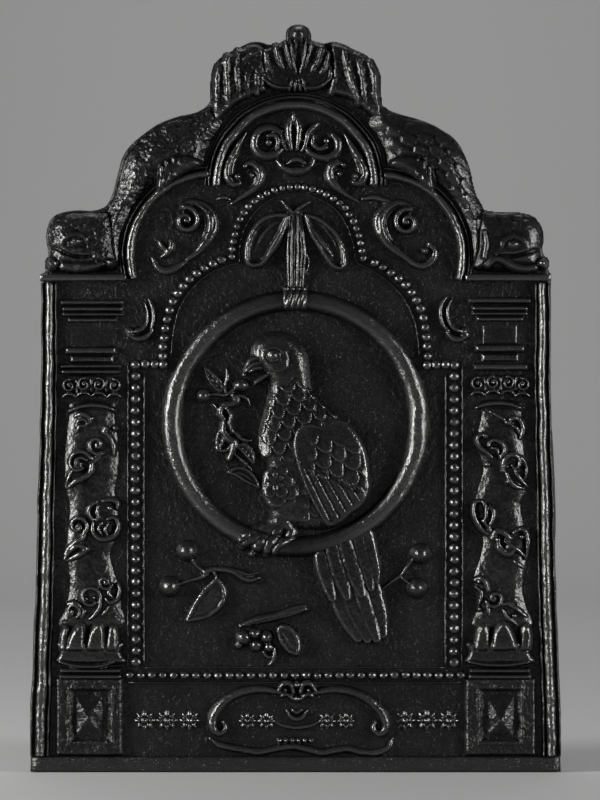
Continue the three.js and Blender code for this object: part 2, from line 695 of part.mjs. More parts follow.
const foliageMiddle = (pen) => foliage(pen, foliageHeights[1], [
  [[-17, 3, 3.5], [-26, 5, 4], [-27, 14, 4.5], [-18, 20, 5], [-6, 15, 5], [3, 4, 5], [8, -9, 5],
    [17, -18, 4.5], [25, -33, 2.5]],
  [[-4, 8, 3.5], [-9, -2, 4.5], [-17, -9, 4.5], [-27, -11, 3]],
  [[6, -6, 3.5], [8, -18, 5], [6, -29, 2]],
], [[13, 1, 8.5]]);

const foliageBottom = (pen) => foliage(pen, foliageHeights[2], [
  [[-24, 17, 3], [-15, 23, 4], [-6, 18, 4.5], [-4, 8, 4.5], [3, 0, 5], [12, -4, 5], [23, -9, 4.5]],
], [[-14, 13, 8], [-3, -5, 8], [18, -13, 6]]);

function columnBase(pen) {
  const floor = pedestalTop + clearance;
  const lobes = [-17, 0, 17].map((x) => {
    const route = onAxis([[x, floor + 28, 8], [x * 1.05, floor + 45, 9.5], [x * 1.15, floor + 58, 5]]);
    return pen.rib(route, lobeRise);
  });
  const torus = pen.rib(onAxis([[-27.6, floor + 16.3, 4.1], [27.6, floor + 16.3, 4.1]]), lobeRise);
  const steps = [[26, floor, floor + 11, shaftRise], [23, floor + 10, floor + 32, shaftRise]];
  return join(stack(pen, steps), torus, ...lobes);
}

const pocketZ = (pedestalTop + pedestalFoot) / 2 + pocketLift;

function pedestal(pen) {
  const body = stack(pen, [[pedestalWidth / 2, pedestalFoot, pedestalTop, pedestalRise]]);
  const half = pocketWidth / 2 - pen.grow;
  const reach = pocketHeight / 2 - pen.grow;
  const inner = penFor(pen.side, 0);
  const floor = pedestalRise - pocketDepth + pen.grow;
  return body.subtract(inner.block(pilasterAxis - half, pilasterAxis + half, pocketZ - reach,
    pocketZ + reach, pedestalRise + pocketDepth, floor));
}

function diamondBoss(pen) {
  const levels = [[1, pedestalRise - pocketDepth + clearance], [0.06, bossRise + pen.grow]];
  return pen.pyramid(pilasterAxis, pocketZ, bossWidth, bossHeight, levels);
}

// ---- The base panel ----

function cartouche(pen) {
  const half = (hand) => join(
    hand.rib(at(0, cartoucheFoot, [[4, 60, 4], [16, 61, 4], [44, 64, 4.5], [70, 56, 5], [86, 42, 5],
      [89, 27, 4.5], [82, 21, 4], [77, 30, 3]]), scrollRise),
    hand.rib(at(0, cartoucheFoot, [[0, 8, 3.5], [20, 3, 3.5], [45, 5, 3.5], [68, 3, 3.5], [84, 8, 3.5],
      [85, 22, 3.5]]), scrollRise),
    hand.rib(at(0, cartoucheFoot, [[2, 60, 4], [8, 66, 4], [15, 63, 3]]), scrollRise),
  );
  return join(bothSides(pen, half), pen.button(0, cartoucheFoot + 60, 7, knotRise));
}

// A plain bar of rosettes.
const rosetteBar = (pen, places, radius, height, rise) => join(
  pen.rib([places[0], (places[0] + places.at(-1)) / 2, places.at(-1)].map((x) => [x, height, 2.5]), rise),
  ...places.map((x) => pen.button(x, height, radius, rise + 1, 0, 8)),
);

const cartoucheRosettes = (pen) => rosetteBar(pen, [-38, 0, 38], 8, cartoucheFoot + 34, rosetteRise / 2);

function baseRosettes(pen) {
  const inner = cartoucheReach + rosetteMargin;
  const outer = pilasterAxis - pedestalWidth / 2 - rosetteMargin;
  const places = [inner, (inner + outer) / 2, outer];
  return rosetteBar(pen, places, rosetteRadius, cartoucheFoot + 32, rosetteRise / 2);
}

// ---- The assembly ----

const ground = new THREE.MeshStandardMaterial({ color: 0x17181a, roughness: 0.6, metalness: 0.7 });
const rubbed = new THREE.MeshStandardMaterial({ color: 0x232528, roughness: 0.42, metalness: 0.8 });

// Ornaments by group. Where two would meet, the later one is cut back by the clearance.
const ornaments = [
  ["border", "foot_rail", "one", footRail],
  ["border", "edge_moulding", "pair", edgeMoulding],
  ["arches", "top_arch", "one", topArch],
  ["arches", "shoulder_arch", "pair", shoulderArch],
  ["border", "cornice", "pair", cornice],
  ["arches", "dolphin", "pair", dolphin],
  ["arches", "crest_shell", "one", crestShell],
  ["arches", "tail_fin", "pair", tailFin],
  ["arches", "palmette", "one", palmette],
  ["arches", "tympanum_scroll", "pair", tympanumScroll],
  ["arches", "shoulder_scroll", "pair", shoulderScroll],
  ["arches", "console_leaf", "pair", consoleLeaf],
  ["beads", "bead_row", "one", beadRow],
  ["beads", "bead_column", "pair", beadColumn],
  ["beads", "bead_canopy", "one", beadCanopy],
  ["panel", "hoop", "one", hoop],
  ["panel", "ribbon_tie", "one", ribbonTie],
  ["panel", "ribbon_bow", "one", ribbonBow],
  ["panel", "parrot_wing", "one", parrotWing],
  ["panel", "parrot_body", "one", parrotBody],
  ["panel", "parrot_feet", "one", parrotFeet],
  ["panel", "parrot_tail", "one", parrotTail],
  ["panel", "cherry_branch", "one", cherryBranch],
  ["panel", "cherry_sprig_left", "one", cherrySprigLeft],
  ["panel", "cherry_sprig_right", "one", cherrySprigRight],
  ["panel", "fruit_ornament", "one", fruitOrnament],
  ["pilasters", "pedestal", "pair", pedestal],
  ["pilasters", "diamond_boss", "pair", diamondBoss],
  ["pilasters", "column_shaft", "pair", columnShaft],
  ["pilasters", "column_base", "pair", columnBase],
  ["pilasters", "capital", "pair", capital],
  ["pilasters", "column_neck", "pair", columnNeck],
  ["pilasters", "entablature", "pair", entablature],
  ["pilasters", "foliage_top", "pair", foliageTop],
  ["pilasters", "foliage_middle", "pair", foliageMiddle],
  ["pilasters", "foliage_bottom", "pair", foliageBottom],
  ["base", "cartouche", "one", cartouche],
  ["base", "cartouche_rosettes", "one", cartoucheRosettes],
  ["base", "base_rosettes", "pair", baseRosettes],
];

// Turns a solid into a mesh that hangs from its own middle, on the plate's face.
function meshOf(name, body, material) {
  const { vertProperties, triVerts } = body.getMesh();
  const geometry = new THREE.BufferGeometry();
  geometry.setAttribute("position", new THREE.BufferAttribute(new Float32Array(vertProperties), 3));
  geometry.setIndex(new THREE.BufferAttribute(new Uint32Array(triVerts), 1));
  geometry.computeBoundingBox();
  const middle = geometry.boundingBox.getCenter(new THREE.Vector3()).setY(0).round();
  geometry.translate(-middle.x, 0, -middle.z);
  geometry.computeVertexNormals();
  const mesh = new THREE.Mesh(geometry, material);
  mesh.name = name;
  mesh.position.copy(middle);
  return mesh;
}

function assemble() {
  const fireback = new THREE.Group();
  fireback.position.y = faceY;
  fireback.add(meshOf("back_plate", backPlate(), ground));
  const groups = new Map();
  const placed = [];
  for (const [groupName, name, count, draw] of ornaments) {
    const sides = count === "pair" ? [["_left", -1], ["_right", 1]] : [["", 1]];
    for (const [suffix, side] of sides) {
      const grown = draw(penFor(side, clearance));
      const body = placed.reduce((left, other) => {
        return grown.intersect(other.body).isEmpty() ? left : left.subtract(other.grown);
      }, draw(penFor(side, 0)));
      placed.push({ body, grown });
      if (!groups.has(groupName)) {
        groups.set(groupName, new THREE.Group());
        fireback.add(groups.get(groupName));
      }
      groups.get(groupName).add(meshOf(name + suffix, body, rubbed));
    }
  }
  return fireback;
}

export default assemble();
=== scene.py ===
import bpy
import bmesh
import math
import numpy as np
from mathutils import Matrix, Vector
from mathutils.geometry import delaunay_2d_cdt


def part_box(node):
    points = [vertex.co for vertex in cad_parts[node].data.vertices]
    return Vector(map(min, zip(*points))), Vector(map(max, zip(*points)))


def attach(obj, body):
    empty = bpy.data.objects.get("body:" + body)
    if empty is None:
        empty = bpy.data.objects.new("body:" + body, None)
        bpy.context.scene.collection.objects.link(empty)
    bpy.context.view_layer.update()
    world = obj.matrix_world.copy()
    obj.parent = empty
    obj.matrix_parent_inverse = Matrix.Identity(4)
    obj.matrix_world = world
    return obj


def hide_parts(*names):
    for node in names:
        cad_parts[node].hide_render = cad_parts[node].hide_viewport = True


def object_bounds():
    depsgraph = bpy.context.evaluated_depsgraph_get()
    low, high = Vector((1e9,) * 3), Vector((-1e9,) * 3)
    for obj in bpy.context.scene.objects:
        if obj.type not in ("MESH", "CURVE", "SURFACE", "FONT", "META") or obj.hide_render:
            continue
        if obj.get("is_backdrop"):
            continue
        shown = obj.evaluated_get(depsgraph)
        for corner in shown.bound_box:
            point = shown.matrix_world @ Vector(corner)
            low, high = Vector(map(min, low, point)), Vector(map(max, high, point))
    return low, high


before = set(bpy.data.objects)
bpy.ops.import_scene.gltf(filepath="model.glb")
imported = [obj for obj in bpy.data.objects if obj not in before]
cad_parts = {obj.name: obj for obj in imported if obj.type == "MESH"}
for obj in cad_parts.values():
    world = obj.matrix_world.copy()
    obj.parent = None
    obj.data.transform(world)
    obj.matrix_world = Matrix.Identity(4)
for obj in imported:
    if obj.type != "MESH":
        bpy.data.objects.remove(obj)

cad_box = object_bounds()

MM = 0.001
SHEET_MIDDLE = 295.5
SHEET_FOOT = 772.0
PLATE_SIDES = (30.0, 561.0)
PLATE_TOP = 24.0
MOULDING_SIDES = (30.2, 560.8)
HOOP_X, HOOP_Y = 295.5, 423.6
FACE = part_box("foot_rail")[1].y / MM
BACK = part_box("back_plate")[1].y / MM
# Carvings start this far under the face, and what lies lower than the trim is cut away.
SUNK = -1.3
TRIM = -0.8
HIGHEST = 16.8
LEFT, RIGHT = -1, 1
BODY = "root"


# ---- Shader sums ----

class Value:
    """A socket that takes part in sums."""

    def __init__(self, finish, socket):
        self.finish = finish
        self.socket = socket

    def _sum(self, operation, first, second):
        made = self.finish.node("ShaderNodeMath", {"operation": operation}, {0: first, 1: second})
        return Value(self.finish, made.outputs[0])

    def __add__(self, other):
        return self._sum("ADD", self, other)

    __radd__ = __add__

    def __mul__(self, other):
        return self._sum("MULTIPLY", self, other)

    __rmul__ = __mul__

    def __sub__(self, other):
        return self._sum("SUBTRACT", self, other)

    def __rsub__(self, other):
        return self._sum("SUBTRACT", other, self)

    def __pow__(self, other):
        return self._sum("POWER", self, other)


class Finish:
    """A material's nodes."""

    def __init__(self, name):
        self.material = bpy.data.materials.new(name)
        self.material.use_nodes = True
        self.tree = self.material.node_tree
        self.tree.nodes.clear()

    def node(self, kind, settings=None, sockets=None):
        made = self.tree.nodes.new(kind)
        for key, value in (settings or {}).items():
            setattr(made, key, value)
        for key, value in (sockets or {}).items():
            if isinstance(value, Value):
                value = value.socket
            if isinstance(value, bpy.types.NodeSocket):
                self.tree.links.new(value, made.inputs[key])
            else:
                made.inputs[key].default_value = value
        return made

    def noise(self, place, size, detail=3.0, rough=0.55):
        """Noise whose blotches are about that many millimetres across."""
        made = self.node("ShaderNodeTexNoise", {"noise_dimensions": "3D"}, {
            "Vector": place, "Scale": 1 / (size * MM), "Detail": detail, "Roughness": rough})
        return Value(self, made.outputs["Fac"])

    def limit(self, value, low, high):
        """Spreads what lies between low and high over 0 to 1, and clips the rest."""
        made = self.node("ShaderNodeMapRange", {"clamp": True}, {
            "Value": value, "From Min": low, "From Max": high, "To Min": 0.0, "To Max": 1.0})
        return Value(self, made.outputs["Result"])

    def blend(self, share, first, second):
        """A colour between two."""
        made = self.node("ShaderNodeMix", {"data_type": "RGBA"}, {0: share, 6: first, 7: second})
        return made.outputs[2]

    def surface(self, shader):
        self.node("ShaderNodeOutputMaterial", None, {"Surface": shader})
        return self.material


# Widths of the blotches in the iron's surface, in millimetres.
SAND_GRAIN, SPECK_GRAIN, LUMP_GRAIN, CLOUD_GRAIN = 2.0, 2.4, 5.5, 55.0


def iron(name, dull, rubbed, rough=0.45, grain=0.5, pits=0.2, uneven=1.2):
    """Blackened cast iron: dull in its hollows, rubbed to a dark sheen where it stands proud."""
    finish = Finish(name)
    place = finish.node("ShaderNodeTexCoord").outputs["Object"]
    # The rubbed attribute is wear on proud parts; on the hoop it is also lowered at top and foot as painted
    # shade.
    wear_and_shade = Value(finish, finish.node("ShaderNodeAttribute", {"attribute_name": "rubbed"}).outputs["Fac"])
    sand = finish.noise(place, SAND_GRAIN, 3.0, 0.6)
    lumps = finish.noise(place, LUMP_GRAIN, 2.0)
    cloud = finish.noise(place, CLOUD_GRAIN, 3.0)
    speck = finish.limit(finish.noise(place, SPECK_GRAIN, 2.0, 0.7), 0.66, 0.76)
    polish = finish.limit(wear_and_shade + (cloud - 0.5) * 0.6 + (sand - 0.5) * 0.5, 0.15, 0.95)
    colour = finish.blend(polish, (*dull, 1), (*rubbed, 1))
    roughness = rough + (sand - 0.5) * 0.25 + (cloud - 0.5) * 0.12 - polish * 0.12
    height = sand * grain + lumps * uneven - speck * pits
    bump = finish.node("ShaderNodeBump", None, {"Strength": 0.7, "Distance": 0.001, "Height": height})
    shader = finish.node("ShaderNodeBsdfPrincipled", None, {
        "Base Color": colour, "Roughness": roughness, "Metallic": 0.85, "Normal": bump.outputs["Normal"],
        "Specular IOR Level": 0.5})
    return finish.surface(shader.outputs["BSDF"])


def plain(name, colour, rough):
    """The studio's floor and backdrop."""
    finish = Finish(name)
    shader = finish.node("ShaderNodeBsdfPrincipled", None, {"Base Color": (*colour, 1), "Roughness": rough})
    return finish.surface(shader.outputs["BSDF"])


GROUND = iron("blackened_ground", (0.017, 0.0173, 0.0164), (0.052, 0.0525, 0.051),
              rough=0.35, grain=1.2, pits=1.0, uneven=2.8)
CARVED = iron("blackened_carving", (0.015, 0.0153, 0.0146), (0.1, 0.101, 0.098), rough=0.3)
RUBBED = iron("rubbed_moulding", (0.018, 0.0184, 0.0175), (0.105, 0.106, 0.103), rough=0.24, grain=0.9)
PITTED = iron("pitted_crest", (0.012, 0.0122, 0.0117), (0.07, 0.0708, 0.069),
              rough=0.27, grain=0.7, pits=1.0, uneven=1.0)


# ---- Sand-cast unevenness ----

def sheet_noise(seed, shortest, longest, fall=0.0):
    """Noise over a square sheet, with waves between two lengths in millimetres. Fall lowers short ones."""
    size = 1024
    spectrum = np.fft.fft2(np.random.default_rng(seed).standard_normal((size, size)))
    steps = np.fft.fftfreq(size)
    pitch = np.hypot(*np.meshgrid(steps, steps))
    spectrum *= np.maximum(pitch, 1 / size) ** -fall
    spectrum[(pitch < 1 / longest) | (pitch > 1 / shortest)] = 0
    sheet = np.real(np.fft.ifft2(spectrum))
    return sheet / sheet.std()


LUMPS = sheet_noise(3, 5, 16)
PITS = sheet_noise(5, 2.4, 7)
SWELL = sheet_noise(8, 30, 120)
ROUGH = sheet_noise(12, 2.2, 40, fall=1.6)


def sample(sheet, x, y):
    """A noise sheet's values at places on the drawing sheet."""
    size = sheet.shape[0]
    column, row = np.floor(x).astype(int), np.floor(y).astype(int)
    u, v = x - column, y - row
    corner = lambda right, down: sheet[(row + down) % size, (column + right) % size]
    upper = corner(0, 0) * (1 - u) + corner(1, 0) * u
    lower = corner(0, 1) * (1 - u) + corner(1, 1) * u
    return upper * (1 - v) + lower * v


# ---- Lines on the sheet ----

def smooth_line(points, steps=8, closed=False):
    """Points of a smooth line through the given ones; a third number, such as a half width, goes along."""
    points = np.array(points, float)
    if closed:
        points = np.vstack([points[-1], points, points[0], points[1]])
    else:
        points = np.vstack([2 * points[0] - points[1], points, 2 * points[-1] - points[-2]])
    share = np.linspace(0, 1, steps, endpoint=False)[:, None]
    runs = []
    for a, b, c, d in zip(points[:-3], points[1:-2], points[2:-1], points[3:]):
        runs.append(0.5 * (2 * b + (c - a) * share + (2 * a - 5 * b + 4 * c - d) * share ** 2
                           + (3 * b - a - 3 * c + d) * share ** 3))
    if not closed:
        runs.append(points[-2:-1])
    return np.vstack(runs)


def volute(x, y, start, turns, inner, outer, half, thin=0.5, steps=14):
    """A spiral's points from its outside in. Start is in degrees, 0 to the right and 90 up."""
    count = max(int(abs(turns) * steps), 4)
    share = np.linspace(0, 1, count)
    angle = np.radians(start) + share * turns * 2 * math.pi
    reach = outer + (inner - outer) * share
    return [(x + r * math.cos(a), y - r * math.sin(a), half * (1 - (1 - thin) * s))
            for r, a, s in zip(reach, angle, share)]


def arc(x, y, radius, start, end, count=24):
    return [(x + radius * math.cos(a), y - radius * math.sin(a))
            for a in np.radians(np.linspace(start, end, count))]


def mirrored(points, side, middle=SHEET_MIDDLE):
    """Points drawn for the left, on the side that is asked for."""
    return points if side == LEFT else [(2 * middle - p[0], *p[1:]) for p in points]


# ---- Meshes ----

def to_row(x, y, height):
    """Places on the sheet as metres in the row's frame."""
    return np.stack([(x - SHEET_MIDDLE) * MM, (FACE - height) * MM, (SHEET_FOOT - y) * MM], axis=-1)


def make_piece(name, corners, faces, rubbed, material, nodes):
    """A smooth mesh that stands for CAD nodes and rides on the plate."""
    mesh = bpy.data.meshes.new(name)
    mesh.from_pydata(corners.tolist(), [], faces)
    mesh.polygons.foreach_set("use_smooth", [True] * len(mesh.polygons))
    wear_and_shade = mesh.attributes.new("rubbed", "FLOAT", "POINT")
    wear_and_shade.data.foreach_set("value", np.asarray(rubbed, np.float32))
    mesh.materials.append(material)
    piece = bpy.data.objects.new(name, mesh)
    bpy.context.scene.collection.objects.link(piece)
    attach(piece, BODY)
    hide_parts(*nodes)
    return piece


def joined_rings(rings, count, start=0, closed=False):
    """Faces between neighbouring rings of that many corners each."""
    faces = []
    for ring in range(rings if closed else rings - 1):
        here, there = start + ring * count, start + (ring + 1) % rings * count
        for point in range(count):
            after = (point + 1) % count
            faces.append([here + point, there + point, there + after, here + after])
    return faces


def turn_outwards(piece):
    """Makes all faces of a closed piece look outwards."""
    shell = bmesh.new()
    shell.from_mesh(piece.data)
    bmesh.ops.recalc_face_normals(shell, faces=shell.faces)
    shell.to_mesh(piece.data)
    shell.free()


def close_underside(mesh):
    """Fills the open rim of a carving, inside the plate, so that the piece is a closed body."""
    shell = bmesh.new()
    shell.from_mesh(mesh)
    rim = [edge for edge in shell.edges if edge.is_boundary]
    filled = bmesh.ops.triangle_fill(shell, use_beauty=False, use_dissolve=False, edges=rim,
                                     normal=Vector((0, 1, 0)))
    for face in filled["geom"]:
        if isinstance(face, bmesh.types.BMFace):
            face.smooth = False
            if face.normal.y < 0:
                face.normal_flip()
    shell.to_mesh(mesh)
    shell.free()


def rounding(depth, edge):
    """A quarter round over an edge: from 0 outside to 1 where the depth reaches the edge's width."""
    return 1 - (1 - np.clip(depth / edge, 0, 1)) ** 2


def soften(field, times):
    """Averages a grid with its neighbours."""
    for _ in range(times):
        wide = np.pad(field, 1, mode="edge")
        field = (wide[1:-1, 1:-1] * 4 + wide[:-2, 1:-1] + wide[2:, 1:-1]
                 + wide[1:-1, :-2] + wide[1:-1, 2:]) / 8
    return field


class Carving:
    """A patch of relief: heights in millimetres on a fine grid, over the face or over other relief."""

    def __init__(self, left, top, right, bottom, step=1.0, spread=1.0):
        across = np.arange(left, right + step / 2, step)
        down = np.arange(top, bottom + step / 2, step)
        self.x, self.y = np.meshgrid(across, down)
        self.step = step
        self.spread = spread
        self.ground = np.zeros(self.x.shape)
        self.height = np.full(self.x.shape, SUNK)

    def over(self):
        """A new carving on the same grid that lies on this one."""
        upper = object.__new__(Carving)
        upper.x, upper.y, upper.step, upper.spread = self.x, self.y, self.step, self.spread
        upper.lie_on(np.maximum(self.height, self.ground))
        return upper

    def lie_on(self, ground):
        self.ground = ground
        self.height = ground + SUNK

    def raise_to(self, height):
        self.height = np.maximum(self.height, height)

    def window(self, box, reach):
        """The rows and columns of the grid within reach of a box."""
        x0, y0, x1, y1 = box
        column = lambda x: int((x - self.x[0, 0]) / self.step)
        row = lambda y: int((y - self.y[0, 0]) / self.step)
        return (slice(max(row(y0 - reach), 0), max(row(y1 + reach) + 2, 0)),
                slice(max(column(x0 - reach), 0), max(column(x1 + reach) + 2, 0)))

    def trace(self, route, steps=8):
        """Every grid place against a route of x, y, half width. Gives the distance as a share of the half
        width, the side that it lies on, how far along the route it is, and the half width there."""
        line = smooth_line(route, steps)
        line[:, 2] *= self.spread
        shape = self.x.shape
        away, side, along, half = np.full(shape, 9.0), np.ones(shape), np.zeros(shape), np.ones(shape)
        lengths = np.hypot(*np.diff(line[:, :2], axis=0).T)
        total = lengths.sum()
        run = 0.0
        for (ax, ay, ah), (bx, by, bh), length in zip(line[:-1], line[1:], lengths):
            if length > 1e-6:
                reach = max(ah, bh, 0.3) * 1.7 + self.step
                box = (min(ax, bx), min(ay, by), max(ax, bx), max(ay, by))
                part = self.window(box, reach)
                px, py = self.x[part] - ax, self.y[part] - ay
                dx, dy = bx - ax, by - ay
                share = np.clip((px * dx + py * dy) / length ** 2, 0, 1)
                wide = np.maximum(ah + share * (bh - ah), 0.3)
                gap = np.hypot(px - share * dx, py - share * dy) / wide
                nearer = gap < away[part]
                away[part] = np.where(nearer, gap, away[part])
                side[part] = np.where(nearer, np.sign(px * dy - py * dx), side[part])
                along[part] = np.where(nearer, (run + share * length) / total, along[part])
                half[part] = np.where(nearer, wide, half[part])
            run += length
        return away, side, along, half

    def rib(self, route, rise, full=2.0, lift=0.0, taper=0.5, crease=0.0):
        """A rounded rib along a route. It sinks where it is narrow; a crease splits it along its middle."""
        away, _, _, half = self.trace(route)
        widest = max(point[2] for point in route) * self.spread
        tall = rise * np.minimum(half / widest, 1) ** taper
        top = (self.ground + lift + tall * (1 - away ** full)
               - crease * np.clip(1 - (away / 0.35) ** 2, 0, 1))
        self.raise_to(np.where(away < 1.6, top, SUNK + self.ground))

    def band(self, route, heights, lift=0.0):
        """A moulded band along a route; heights are given from its one edge to its other."""
        away, side, _, _ = self.trace(route)
        places = np.linspace(-1, 1, len(heights))
        top = np.interp(away * side, places, heights)
        top = np.where(away <= 1, top, min(heights[0], heights[-1]) - (away - 1) * 8)
        self.raise_to(np.where(away < 1.6, self.ground + lift + top, SUNK + self.ground))

    def groove(self, route, depth):
        away, _, _, _ = self.trace(route)
        self.height = self.height - depth * np.clip(1 - away ** 2, 0, 1)

    def dome(self, x, y, radius, rise, lift=0.0, tall=None, turn=0.0, full=2.0):
        """A button or a long egg, turned by degrees."""
        angle = math.radians(turn)
        u = (self.x - x) * math.cos(angle) + (self.y - y) * math.sin(angle)
        v = -(self.x - x) * math.sin(angle) + (self.y - y) * math.cos(angle)
        away = np.hypot(u / radius, v / (tall or radius))
        top = self.ground + lift + rise * (1 - away ** full)
        self.raise_to(np.where(away < 1.6, top, SUNK + self.ground))

    def inside(self, outline, smooth=True, steps=6):
        """How far inside a closed outline each grid place is, in millimetres; less than 0 is outside."""
        loop = smooth_line(outline, steps, closed=True) if smooth else np.array(outline, float)
        ends = np.roll(loop, -1, axis=0)
        near = np.full(self.x.shape, 1e9)
        within = np.zeros(self.x.shape, bool)
        for (ax, ay), (bx, by) in zip(loop, ends):
            dx, dy = bx - ax, by - ay
            length = dx * dx + dy * dy
            if length > 1e-9:
                px, py = self.x - ax, self.y - ay
                share = np.clip((px * dx + py * dy) / length, 0, 1)
                near = np.minimum(near, np.hypot(px - share * dx, py - share * dy))
                if abs(dy) > 1e-9:
                    crosses = (ay > self.y) != (by > self.y)
                    within ^= crosses & (self.x < dx * (self.y - ay) / dy + ax)
        return np.where(within, near, -near)

    def form(self, outline, rise, edge, smooth=True, lift=0.0):
        """A cushion inside an outline, rounded over its edge. Gives back how far inside each place is."""
        depth = self.inside(outline, smooth)
        top = lift + rise * rounding(depth, edge) + np.minimum(depth, 0) * 2.5
        self.raise_to(np.maximum(self.ground + top, self.ground + SUNK))
        return depth

    def within(self, x0, y0, x1, y1):
        """How far inside a rectangle each grid place is."""
        return np.minimum(np.minimum(self.x - x0, x1 - self.x), np.minimum(self.y - y0, y1 - self.y))

    def slab(self, x0, y0, x1, y1, rise, edge=1.6):
        """A rectangle with a rounded arris."""
        depth = self.within(x0, y0, x1, y1)
        top = rise * rounding(depth, edge) + np.minimum(depth, 0) * 4
        self.raise_to(np.maximum(self.ground + top, self.ground + SUNK))

    def curled_leaf(self, outline, floor, rim, rim_place, rim_width, swell, reach):
        """A blade with a raised rim and a swollen middle."""
        depth = self.inside(outline)
        blade = (floor + rim * np.exp(-((depth - rim_place) / rim_width) ** 2)
                 + swell * np.clip(depth / reach, 0, 1))
        self.raise_to(np.where(depth > -2, blade + np.minimum(depth, 0) * 4, SUNK))

    def make(self, name, nodes, material=CARVED, lumps=0.26, pits=0.14, soft=2, limit=HIGHEST):
        """Casts the carving as a piece that stands for CAD nodes."""
        height = soften(self.height, soft)
        seen = np.clip((height - self.ground) / 1.5, 0, 1)
        height = height + seen * (lumps * sample(ROUGH, self.x, self.y)
                                  - pits * np.clip(sample(PITS, self.x, self.y) - 0.9, 0, 3))
        height = np.minimum(height, limit)
        proud = height - soften(height, 14)
        rubbed = np.clip(0.35 + proud * 0.6, 0, 1)
        above = height > self.ground + TRIM
        cells = above[:-1, :-1] | above[1:, :-1] | above[:-1, 1:] | above[1:, 1:]
        rows, columns = np.nonzero(cells)
        width = self.x.shape[1]
        first = rows * width + columns
        quads = np.stack([first, first + width, first + width + 1, first + 1], axis=1)
        used, renumbered = np.unique(quads, return_inverse=True)
        corners = to_row(self.x, self.y, height).reshape(-1, 3)[used]
        piece = make_piece(name, corners, renumbered.reshape(-1, 4).tolist(), rubbed.ravel()[used],
                           material, nodes)
        close_underside(piece.data)


def sweep(name, route, profile, nodes, material=RUBBED, closed=False, lumps=0.1):
    """A moulding: a section of offset and height pairs, from one sunk edge to the other, along a route of
    x, y and the share of the section's width there. Offsets are to the left of the way the route runs."""
    route = np.array(route, float)
    ahead = np.roll(route, -1, axis=0) - np.roll(route, 1, axis=0)
    if not closed:
        ahead[0] = route[1] - route[0]
        ahead[-1] = route[-1] - route[-2]
    ahead = ahead[:, :2] / np.hypot(ahead[:, 0], ahead[:, 1])[:, None]
    share = route[:, 2] if route.shape[1] > 2 else np.ones(len(route))
    offset = np.array([point[0] for point in profile], float)
    height = np.array([point[1] for point in profile], float)
    x = route[:, 0:1] + ahead[:, 1:2] * offset * share[:, None]
    y = route[:, 1:2] - ahead[:, 0:1] * offset * share[:, None]
    rise = np.broadcast_to(height, x.shape).copy()
    proud = np.clip(rise, 0, 1)
    rise += proud * lumps * sample(ROUGH, x, y)
    x = np.clip(x + proud * 0.25 * sample(SWELL, x, y), *MOULDING_SIDES)
    count = len(profile)
    faces = joined_rings(len(route), count, closed=closed)
    if not closed:
        faces.append(list(range(count)))
        faces.append(list(range(len(route) * count - 1, (len(route) - 1) * count - 1, -1)))
    rubbed = np.clip(0.2 + 0.8 * (rise / height.max()) ** 2, 0, 1) * (rise > 0)
    corners = to_row(x, y, rise).reshape(-1, 3)
    piece = make_piece(name, corners, faces, rubbed.ravel(), material, nodes)
    turn_outwards(piece)
    return piece


def rounded(*ridges, gap=0.8):
    """A section of rounded ridges side by side. Each has its middle's offset, half width and height."""
    first, last = ridges[0], ridges[-1]
    points = [(first[0] - first[1], SUNK)]
    for middle, half, rise in ridges:
        for share in np.linspace(-1, 1, 9):
            height = rise * (1 - abs(share) ** 2.4)
            points.append((middle + share * half, max(height, gap if 0 < len(points) else 0)))
    points.append((last[0] + last[1], SUNK))
    return points


# ---- The plate ----

PLATE_LEFT = [(30, 772), (30.5, 740), (30.5, 705), (33, 660), (35.5, 610), (37, 565), (38, 520), (39, 480),
    (40, 440), (41, 400), (41.5, 340), (41.5, 290), (41, 275), (44.5, 272), (46, 265), (48, 257),
    (47.5, 249), (46, 241), (46, 233), (47.5, 226), (50.5, 219.5), (56, 214.5), (65, 211.5), (78, 210),
    (90, 210.5), (99, 209), (106, 205.5), (110.5, 198), (113.5, 190), (116, 180), (118.5, 170), (121, 161),
    (125, 152), (132, 143.5), (140, 136.5), (148, 130.5), (156, 125), (164, 121), (172, 118), (180, 115.5),
    (188, 114), (196, 112), (203, 108.5), (208, 104), (210.8, 97), (211.3, 88), (210.8, 78), (212.5, 68),
    (218, 59.5), (227, 52.8), (236, 49), (244, 44.5), (252, 41.5), (260, 41.5), (268, 44), (276, 43.8),
    (282, 42.5), (285.6, 39)]
PLATE_RIGHT = [(561, 772), (560.5, 745), (559.5, 712), (557, 690), (556.5, 660), (555.5, 610), (555, 565),
    (556, 520), (555, 480), (553, 440), (551, 410), (551, 340), (551, 290), (551.5, 275), (549.5, 272),
    (547, 265), (545, 257), (542.5, 249), (544, 241), (543.5, 232), (540, 224.5), (533, 218), (524, 215.3),
    (512, 214.3), (501, 215.5), (491, 214.3), (483.5, 209), (478.5, 201), (475, 192), (471.5, 181),
    (469, 170), (466, 160), (461, 147), (453, 137), (444, 131), (436, 126), (428, 122.5), (420, 119.5),
    (412, 117), (404, 115), (396, 112.5), (388, 109.5), (382, 104.5), (379, 97), (377.5, 88), (378, 78),
    (375.5, 68), (371, 61), (364, 54), (356, 50), (348, 46.5), (340, 42.5), (332, 41.3), (324, 43),
    (316, 43), (311.4, 39.5)]
KNOB = [(285.8, 33), (287.6, 28.4), (291.5, 25.4), (298.3, 24.1), (305, 25.6), (309.2, 29), (311.2, 34)]


def offset_loop(loop, inset):
    """A closed loop moved inwards; the loop runs clockwise on the sheet."""
    ahead = np.roll(loop, -1, axis=0) - np.roll(loop, 1, axis=0)
    ahead /= np.maximum(np.hypot(ahead[:, 0], ahead[:, 1]), 1e-9)[:, None]
    return loop + np.stack([-ahead[:, 1], ahead[:, 0]], axis=1) * inset


def held_in(loop):
    """Keeps an outline inside the plate's own size."""
    return np.stack([np.clip(loop[:, 0], *PLATE_SIDES), np.clip(loop[:, 1], PLATE_TOP, SHEET_FOOT)], axis=1)


